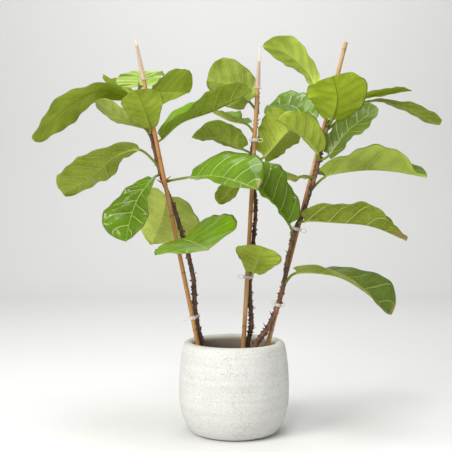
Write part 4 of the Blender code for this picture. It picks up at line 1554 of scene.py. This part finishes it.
@dataclass
class Leaf:
    """Grows a leaf from its row: a round petiole that opens into a folded, veined blade."""

    row: LeafRow
    tissue: LeafTissue
    petiole_radius: float = 2.7 * MM
    thickness: float = 0.9 * MM
    sink: float = 3 * MM
    columns: int = 29
    blade_rings: int = 100
    petiole_rings: int = 14
    pucker: float = 2.4 * MM
    dried: Colour = (0.36, 0.21, 0.10)

    def route(self) -> tuple[Route, float]:
        """The midrib's route from inside the stem, and the share of it where the blade starts."""
        row = self.row
        centre, heading, _ = STEMS[row.stem].at_height(row.height)
        rest = [np.array(point, float) for point in row.petiole + row.blade]
        start = centre / MM - heading * self.sink / MM
        way = [start] + rest
        first = 1 + len(row.petiole)
        whole = Route(way)
        return whole, Route(way[: first + 1]).length / whole.length

    def half_width(self, along: np.ndarray) -> np.ndarray:
        """Half the blade's width at shares of its length."""
        fiddle = self.smooth(FIDDLE, along)
        oval = self.smooth(OVAL, along)
        shape = fiddle * (1 - self.row.oval) + oval * self.row.oval
        shape = shape * (1 - self.row.taper * 0.75 * (1 - ease(along, 0.0, 0.45)))
        shape = shape * (1 - self.row.point * ease(along, 0.5, 1.0))
        return shape * self.row.width / 2 * MM

    @staticmethod
    def smooth(rows: Sequence[tuple[float, float]], along: np.ndarray) -> np.ndarray:
        """Reads a table of (position, value) rows with its corners rounded."""
        table = np.array(rows)
        before, here, after = (
            np.interp(np.clip(along + shift, 0, 1), table[:, 0], table[:, 1]) for shift in (-0.03, 0.0, 0.03)
        )
        ends = np.minimum(along, 1 - along) < 0.05
        return np.where(ends, here, before * 0.25 + here * 0.5 + after * 0.25)

    def frames(self, headings: np.ndarray, along: np.ndarray) -> tuple[np.ndarray, np.ndarray]:
        """Across (to the right) and up (out of the upper side) at each ring."""
        base, tip = (unit(np.array(way, float)) for way in self.row.faces)
        faces = base + (tip - base) * np.clip(along, 0, 1)[:, None]
        up = unit(faces - headings * np.sum(faces * headings, axis=1, keepdims=True))
        return np.cross(headings, up), up

    def vein_phase(self, along: np.ndarray, across: np.ndarray) -> np.ndarray:
        """0 on a side vein and 1 midway between two."""
        phase = self.tissue.pairs * (along - self.tissue.lean * np.abs(across) ** 1.2)
        phase = phase + (across > 0) * 0.3
        return np.abs(np.mod(phase, 1.0) - 0.5) * 2

    def cross_section(self, along: np.ndarray, half: np.ndarray) -> tuple[np.ndarray, ...]:
        """Where each column lies beside the midrib, and the way its surface looks.

        Returns:
            (ring, column) arrays: column position, offset across, offset up, normal across, normal up.
        """
        row = self.row
        steps = self.columns // 2
        tau = np.linspace(0.0, 1.0, steps + 1)
        toward_tip = ease(along, *row.turning)[:, None]
        parts = []
        for side in (0, 1):
            last = row.fold_tip[side] if row.fold_tip else row.fold[side]
            fold = row.fold[side] + (last - row.fold[side]) * toward_tip
            lift = np.radians(fold * (1.2 - 0.4 * tau) + row.curl[side] * (tau**2 * 1.5 - 0.5))
            sign = 2 * side - 1
            flat, raised = self.summed(np.cos(lift)) / steps, self.summed(np.sin(lift)) / steps
            column = np.broadcast_to(tau * sign, lift.shape)
            rows = (column, flat * sign, raised, -np.sin(lift) * sign, np.cos(lift))
            parts.append(rows if side else tuple(values[:, :0:-1] for values in rows))
        across, flat, raised, out_x, out_z = (np.hstack(pair) for pair in zip(*parts))
        reach = half[:, None]
        return across, flat * reach, raised * reach + self.waves(along, across), out_x, out_z

    @staticmethod
    def summed(steps: np.ndarray) -> np.ndarray:
        """The running sum along each row, from 0, by the trapezium rule."""
        means = (steps[:, 1:] + steps[:, :-1]) / 2
        return np.hstack([np.zeros((len(steps), 1)), np.cumsum(means, axis=1)])

    def waves(self, along: np.ndarray, across: np.ndarray) -> np.ndarray:
        """The margin's waves and the swell between side veins."""
        row = self.row
        high = row.width * MM * row.wave
        side = np.where(across > 0, 1.0, -1.0)
        run = along[:, None]
        grown = np.minimum(run * 4, 1)
        large = 0.035 * high * across**2 * np.sin(run * 14 + side * 1.3 + row.width)
        small = 0.016 * high * np.abs(across) ** 3 * np.sin(run * 37 + side * 2.1 + row.width * 1.7)
        swell = self.pucker * self.vein_phase(run, across) * np.sin(np.abs(across) * math.pi) * grown
        return (large + small) * grown + swell * np.minimum((1 - run) * 5, 1)

    def tints(self, along: np.ndarray, across: np.ndarray, half: np.ndarray, points: np.ndarray) -> tuple:
        """Colours of the upper and the under side, with dried tips and marks."""
        row = self.row
        sides = []
        cloud = mottle(points.reshape(-1, 3), 18.0, row.width).reshape(across.shape)
        for green in (row.upper, row.under):
            # row.light scales both greens as painted light and shade, for how brightly this leaf is lit.
            tint = np.array(green.value) * row.light * (1 + cloud[..., None] * 0.35)
            brown = np.zeros_like(cloud)
            if row.dry:
                brown = ease(along[:, None] + cloud * 0.06, 1 - row.dry, 1 - row.dry * 0.7)
            length = row.width * 1.6
            for position, column, size in row.marks:
                away = np.hypot((along[:, None] - position) * length, (across - column) * half[:, None] / MM)
                brown = np.maximum(brown, 1 - ease(away + cloud * 8, size * 0.5, size))
            tint = tint * (1 - brown[..., None]) + np.array(self.dried) * brown[..., None]
            sides.append(tint)
        return sides[0], sides[1]

    def build(self, finish: bpy.types.Material) -> None:
        """Grows the leaf and hands it over."""
        row = self.row
        route, blade_start = self.route()
        even = np.linspace(0.0, 1.0, self.blade_rings)
        along = 0.6 * even + 0.4 * (1 - np.cos(np.pi * even)) / 2
        early = np.linspace(0.0, 0.985, self.petiole_rings)
        shares = np.concatenate([early * blade_start, blade_start + (1 - blade_start) * along])
        centres = route.at(shares)
        headings = Route.headings(centres)
        stalk = self.petiole(centres[: self.petiole_rings], headings[: self.petiole_rings], early)
        centres, headings = centres[self.petiole_rings :], headings[self.petiole_rings :]
        right, up = self.frames(headings, along)
        half = np.maximum(self.half_width(along), 1.2 * MM)
        across, sideways, lift, out_x, out_z = self.cross_section(along, half)
        back = row.ear * MM * np.abs(across) ** 1.5 * (1 - ease(along, 0.0, 0.22))[:, None]
        back = back * ease(along, 0.0, 0.05)[:, None]
        middle = (
            centres[:, None] + right[:, None] * sideways[..., None] + up[:, None] * lift[..., None]
            - headings[:, None] * back[..., None]
        )
        normal = right[:, None] * out_x[..., None] + up[:, None] * out_z[..., None]
        thick = self.thickness / 2 * (1 - np.abs(across) ** 5)
        from_rib = np.abs(across) * half[:, None]
        rib_reach = self.petiole_radius * (1.0 - 0.62 * along)[:, None]
        rib = np.exp(-((from_rib / rib_reach) ** 2))
        vein = np.exp(-((self.vein_phase(along[:, None], across) / 0.1) ** 2)) * (1 - across**2)
        vein = vein * ease(along, 0.03, 0.1)[:, None]
        above = thick - rib * 0.5 * MM - vein * 0.2 * MM
        below = -thick - rib * rib_reach * 1.25 - vein * 0.4 * MM
        margin = np.abs(across) < 1.0
        upper = middle + normal * np.where(margin, above, 0.0)[..., None]
        lower = middle + normal * np.where(margin, below, 0.0)[..., None]
        blade = np.concatenate([upper, lower[:, -2:0:-1]], axis=1)
        rings = np.concatenate([stalk, blade])
        tint_upper, tint_under = self.tints(along, across, half, middle)
        values = self.carried(along, across, half, early, tint_upper, tint_under)
        skin = Skin.through(rings, thin=True, **values)
        leaf = skin.mesh(f"fig_leaf_{row.name}", finish)
        hand_over(leaf, "leaf_green", f"leaf_{row.name}")

    def petiole(self, centres: np.ndarray, headings: np.ndarray, early: np.ndarray) -> np.ndarray:
        """Round rings from the stem to the blade, thicker at the foot."""
        right, up = self.frames(headings, np.zeros(len(centres)))
        count = 2 * self.columns - 2
        turns = math.pi - 2 * math.pi * np.arange(count) / count
        radii = self.petiole_radius * (1.0 + 0.35 * (1 - ease(early, 0.0, 0.3)))
        reach = radii[:, None, None]
        return centres[:, None] + reach * (
            right[:, None] * np.cos(turns)[None, :, None] + up[:, None] * np.sin(turns)[None, :, None]
        )

    def carried(
        self, along: np.ndarray, across: np.ndarray, half: np.ndarray, early: np.ndarray,
        upper: np.ndarray, under: np.ndarray,
    ) -> dict[str, np.ndarray]:
        """The values that the leaf's points carry for its material."""
        count = 2 * self.columns - 2
        stalk = len(early)
        beneath = np.concatenate([np.zeros(self.columns), np.ones(count - self.columns)])
        beneath[0] = beneath[self.columns - 1] = 0.5

        def round_trip(values: np.ndarray) -> np.ndarray:
            return np.concatenate([values, values[:, -2:0:-1]], axis=1)

        tint = np.concatenate([upper, under[:, -2:0:-1]], axis=1)
        tint[:, 0] = (upper[:, 0] + under[:, 0]) / 2
        tint[:, self.columns - 1] = (upper[:, -1] + under[:, -1]) / 2
        # The petiole's green is scaled by the same painted light and shade.
        stalk_tint = np.array((0.24, 0.27, 0.045)) * self.row.light
        stalk_rows = np.broadcast_to(stalk_tint, (stalk, count, 3))
        full_along = np.concatenate([np.broadcast_to((early - 1)[:, None], (stalk, count)),
                                     np.broadcast_to(along[:, None], (len(along), count))])
        full_half = np.concatenate([np.full((stalk, count), self.petiole_radius),
                                    np.broadcast_to(half[:, None], (len(along), count))])
        whole = (stalk + len(along), count)
        return {
            "tint": np.concatenate([stalk_rows, tint]),
            "along": full_along,
            "across": np.concatenate([np.zeros((stalk, count)), round_trip(across)]),
            "under": np.broadcast_to(beneath, whole),
            "half_width": full_half,
            "gloss": np.full(whole, self.row.gloss),
            "coat": self.row.coat * (1 - np.broadcast_to(beneath, whole)) * (full_along > 0),
            "veined": np.full(whole, self.row.veined),
        }


# ---------------------------------------------------------------------------------------------
# Studio
# ---------------------------------------------------------------------------------------------


@dataclass(frozen=True)
class Lamp:
    """A soft square light that looks at the plant."""

    name: str
    place: Triple
    size: float
    power: float
    colour: Colour = (1.0, 1.0, 1.0)
    target: Triple = (0.0, 0.0, 0.45)

    def build(self) -> None:
        """Puts the light into the scene."""
        data = bpy.data.lights.new(self.name, "AREA")
        data.shape = "SQUARE"
        data.size = self.size
        data.energy = self.power
        data.color = self.colour
        made = link(self.name, data)
        made.location = self.place
        way = Vector(self.target) - Vector(self.place)
        made.rotation_euler = way.to_track_quat("-Z", "Y").to_euler()


@dataclass
class Studio:
    """A pale floor that curves up into a wall, soft lamps and the camera."""

    camera_place: Triple = (-0.018, -1.90, 0.506)
    camera_tilt: float = 1.47
    lens: float = 68.18
    sensor: float = 36.0
    floor_colour: Colour = (0.75, 0.75, 0.735)
    sky: Colour = (0.95, 0.97, 1.0)
    sky_strength: float = 0.40
    lamps: tuple[Lamp, ...] = (
        Lamp("key", (-1.9, -1.7, 1.7), 1.2, 62.0, (1.0, 0.985, 0.96)),
        Lamp("front", (-0.5, -2.0, 1.9), 0.5, 14.0, (1.0, 0.99, 0.97)),
        Lamp("fill", (2.2, -1.6, 1.0), 2.0, 6.0, (0.96, 0.98, 1.0)),
        Lamp("top", (0.1, -0.3, 2.3), 1.3, 30.0),
        Lamp("wall", (0.0, 1.5, 3.4), 1.6, 43.0, target=(0.0, 3.7, 1.3)),
    )

    def build(self) -> None:
        """Sets everything up."""
        self.build_floor()
        for lamp in self.lamps:
            lamp.build()
        world = bpy.data.worlds.new("studio")
        world.use_nodes = True
        graph = Graph(world.node_tree)
        sockets = {"Color": (*self.sky, 1.0), "Strength": self.sky_strength}
        light = graph.out("ShaderNodeBackground", None, sockets)
        graph.node("ShaderNodeOutputWorld", None, {"Surface": light})
        bpy.context.scene.world = world
        bpy.context.scene.view_settings.view_transform = "Standard"
        data = bpy.data.cameras.new("camera")
        data.lens = self.lens
        data.sensor_width = self.sensor
        data.dof.use_dof = False
        camera = link("camera", data)
        camera.location = self.camera_place
        camera.rotation_euler = (math.radians(90 - self.camera_tilt), 0.0, 0.0)
        bpy.context.scene.camera = camera

    def build_floor(self) -> None:
        """A wide sheet: flat under the plant, curving up to a wall well behind it."""
        rows = [(-4.0, 0.0), (0.0, 0.0), (2.7, 0.0)]
        rows += [(2.7 + math.sin(turn), 1.0 - math.cos(turn)) for turn in np.linspace(0.1, math.pi / 2, 12)]
        rows += [(3.7, 3.0), (3.7, 5.0)]
        points, faces = [], []
        for back, height in rows:
            points += [(-6.0, back, height), (6.0, back, height)]
        for low in range(0, 2 * len(rows) - 2, 2):
            faces.append((low, low + 1, low + 3, low + 2))
        data = bpy.data.meshes.new("floor")
        data.from_pydata(points, [], faces)
        data.shade_smooth()
        made = Material("pale_floor")
        cloud = made.graph.grain(3.0)
        made.surface(
            {"Base Color": made.graph.mix(self.floor_colour, (0.73, 0.73, 0.715), cloud), "Roughness": 0.8}
        )
        data.materials.append(made.data)
        link("floor", data)


# ---------------------------------------------------------------------------------------------
# The plant
# ---------------------------------------------------------------------------------------------


class Plant:
    """The whole object: pot, mix, canes, stems, clips and leaves."""

    def __init__(self) -> None:
        """Makes the finishes that pieces share."""
        self.bamboo = Bamboo().material()
        self.bark = Bark().material()
        self.plastic = ClearPlastic().material("clear_plastic")
        cap = ClearPlastic((0.78, 0.68, 0.57), (0.58, 0.47, 0.37), 0.26)
        self.cap_plastic = cap.material("cap_plastic")
        self.tissue = LeafTissue()
        self.leaf_finish = self.tissue.material()

    def build(self) -> None:
        """Builds every sub-assembly in order."""
        pot = Pot()
        pot.build()
        Soil(pot).build()
        for side, stake in STAKES.items():
            Cane(side, stake).build(self.bamboo)
            if stake.cap_below:
                Cap(side, stake).build(self.cap_plastic)
        self.build_stems()
        for row in LEAVES:
            Leaf(row, self.tissue).build(self.leaf_finish)

    def build_stems(self) -> None:
        """Stems with their scales, stipules and clips."""
        for side, stem in STEMS.items():
            stem.build(self.bark, [row.height for row in LEAVES if row.stem == side])
            for number, height in enumerate(CLIPS[side], start=1):
                centre, _, radius = stem.at_height(height)
                Clip(side, number, height).build(STAKES[side], centre, radius, self.plastic)
        for number, stipule in enumerate(STIPULES, start=1):
            piece = stipule.skin().mesh(f"stipule_{number:02d}", self.bark)
            hand_over(piece, "bark")


def main() -> None:
    """Builds the studio and the plant and reports each piece."""
    logging.basicConfig(level=logging.INFO, format="%(name)s: %(message)s")
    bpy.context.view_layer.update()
    Studio().build()
    Plant().build()


if __name__ == "__main__":
    main()
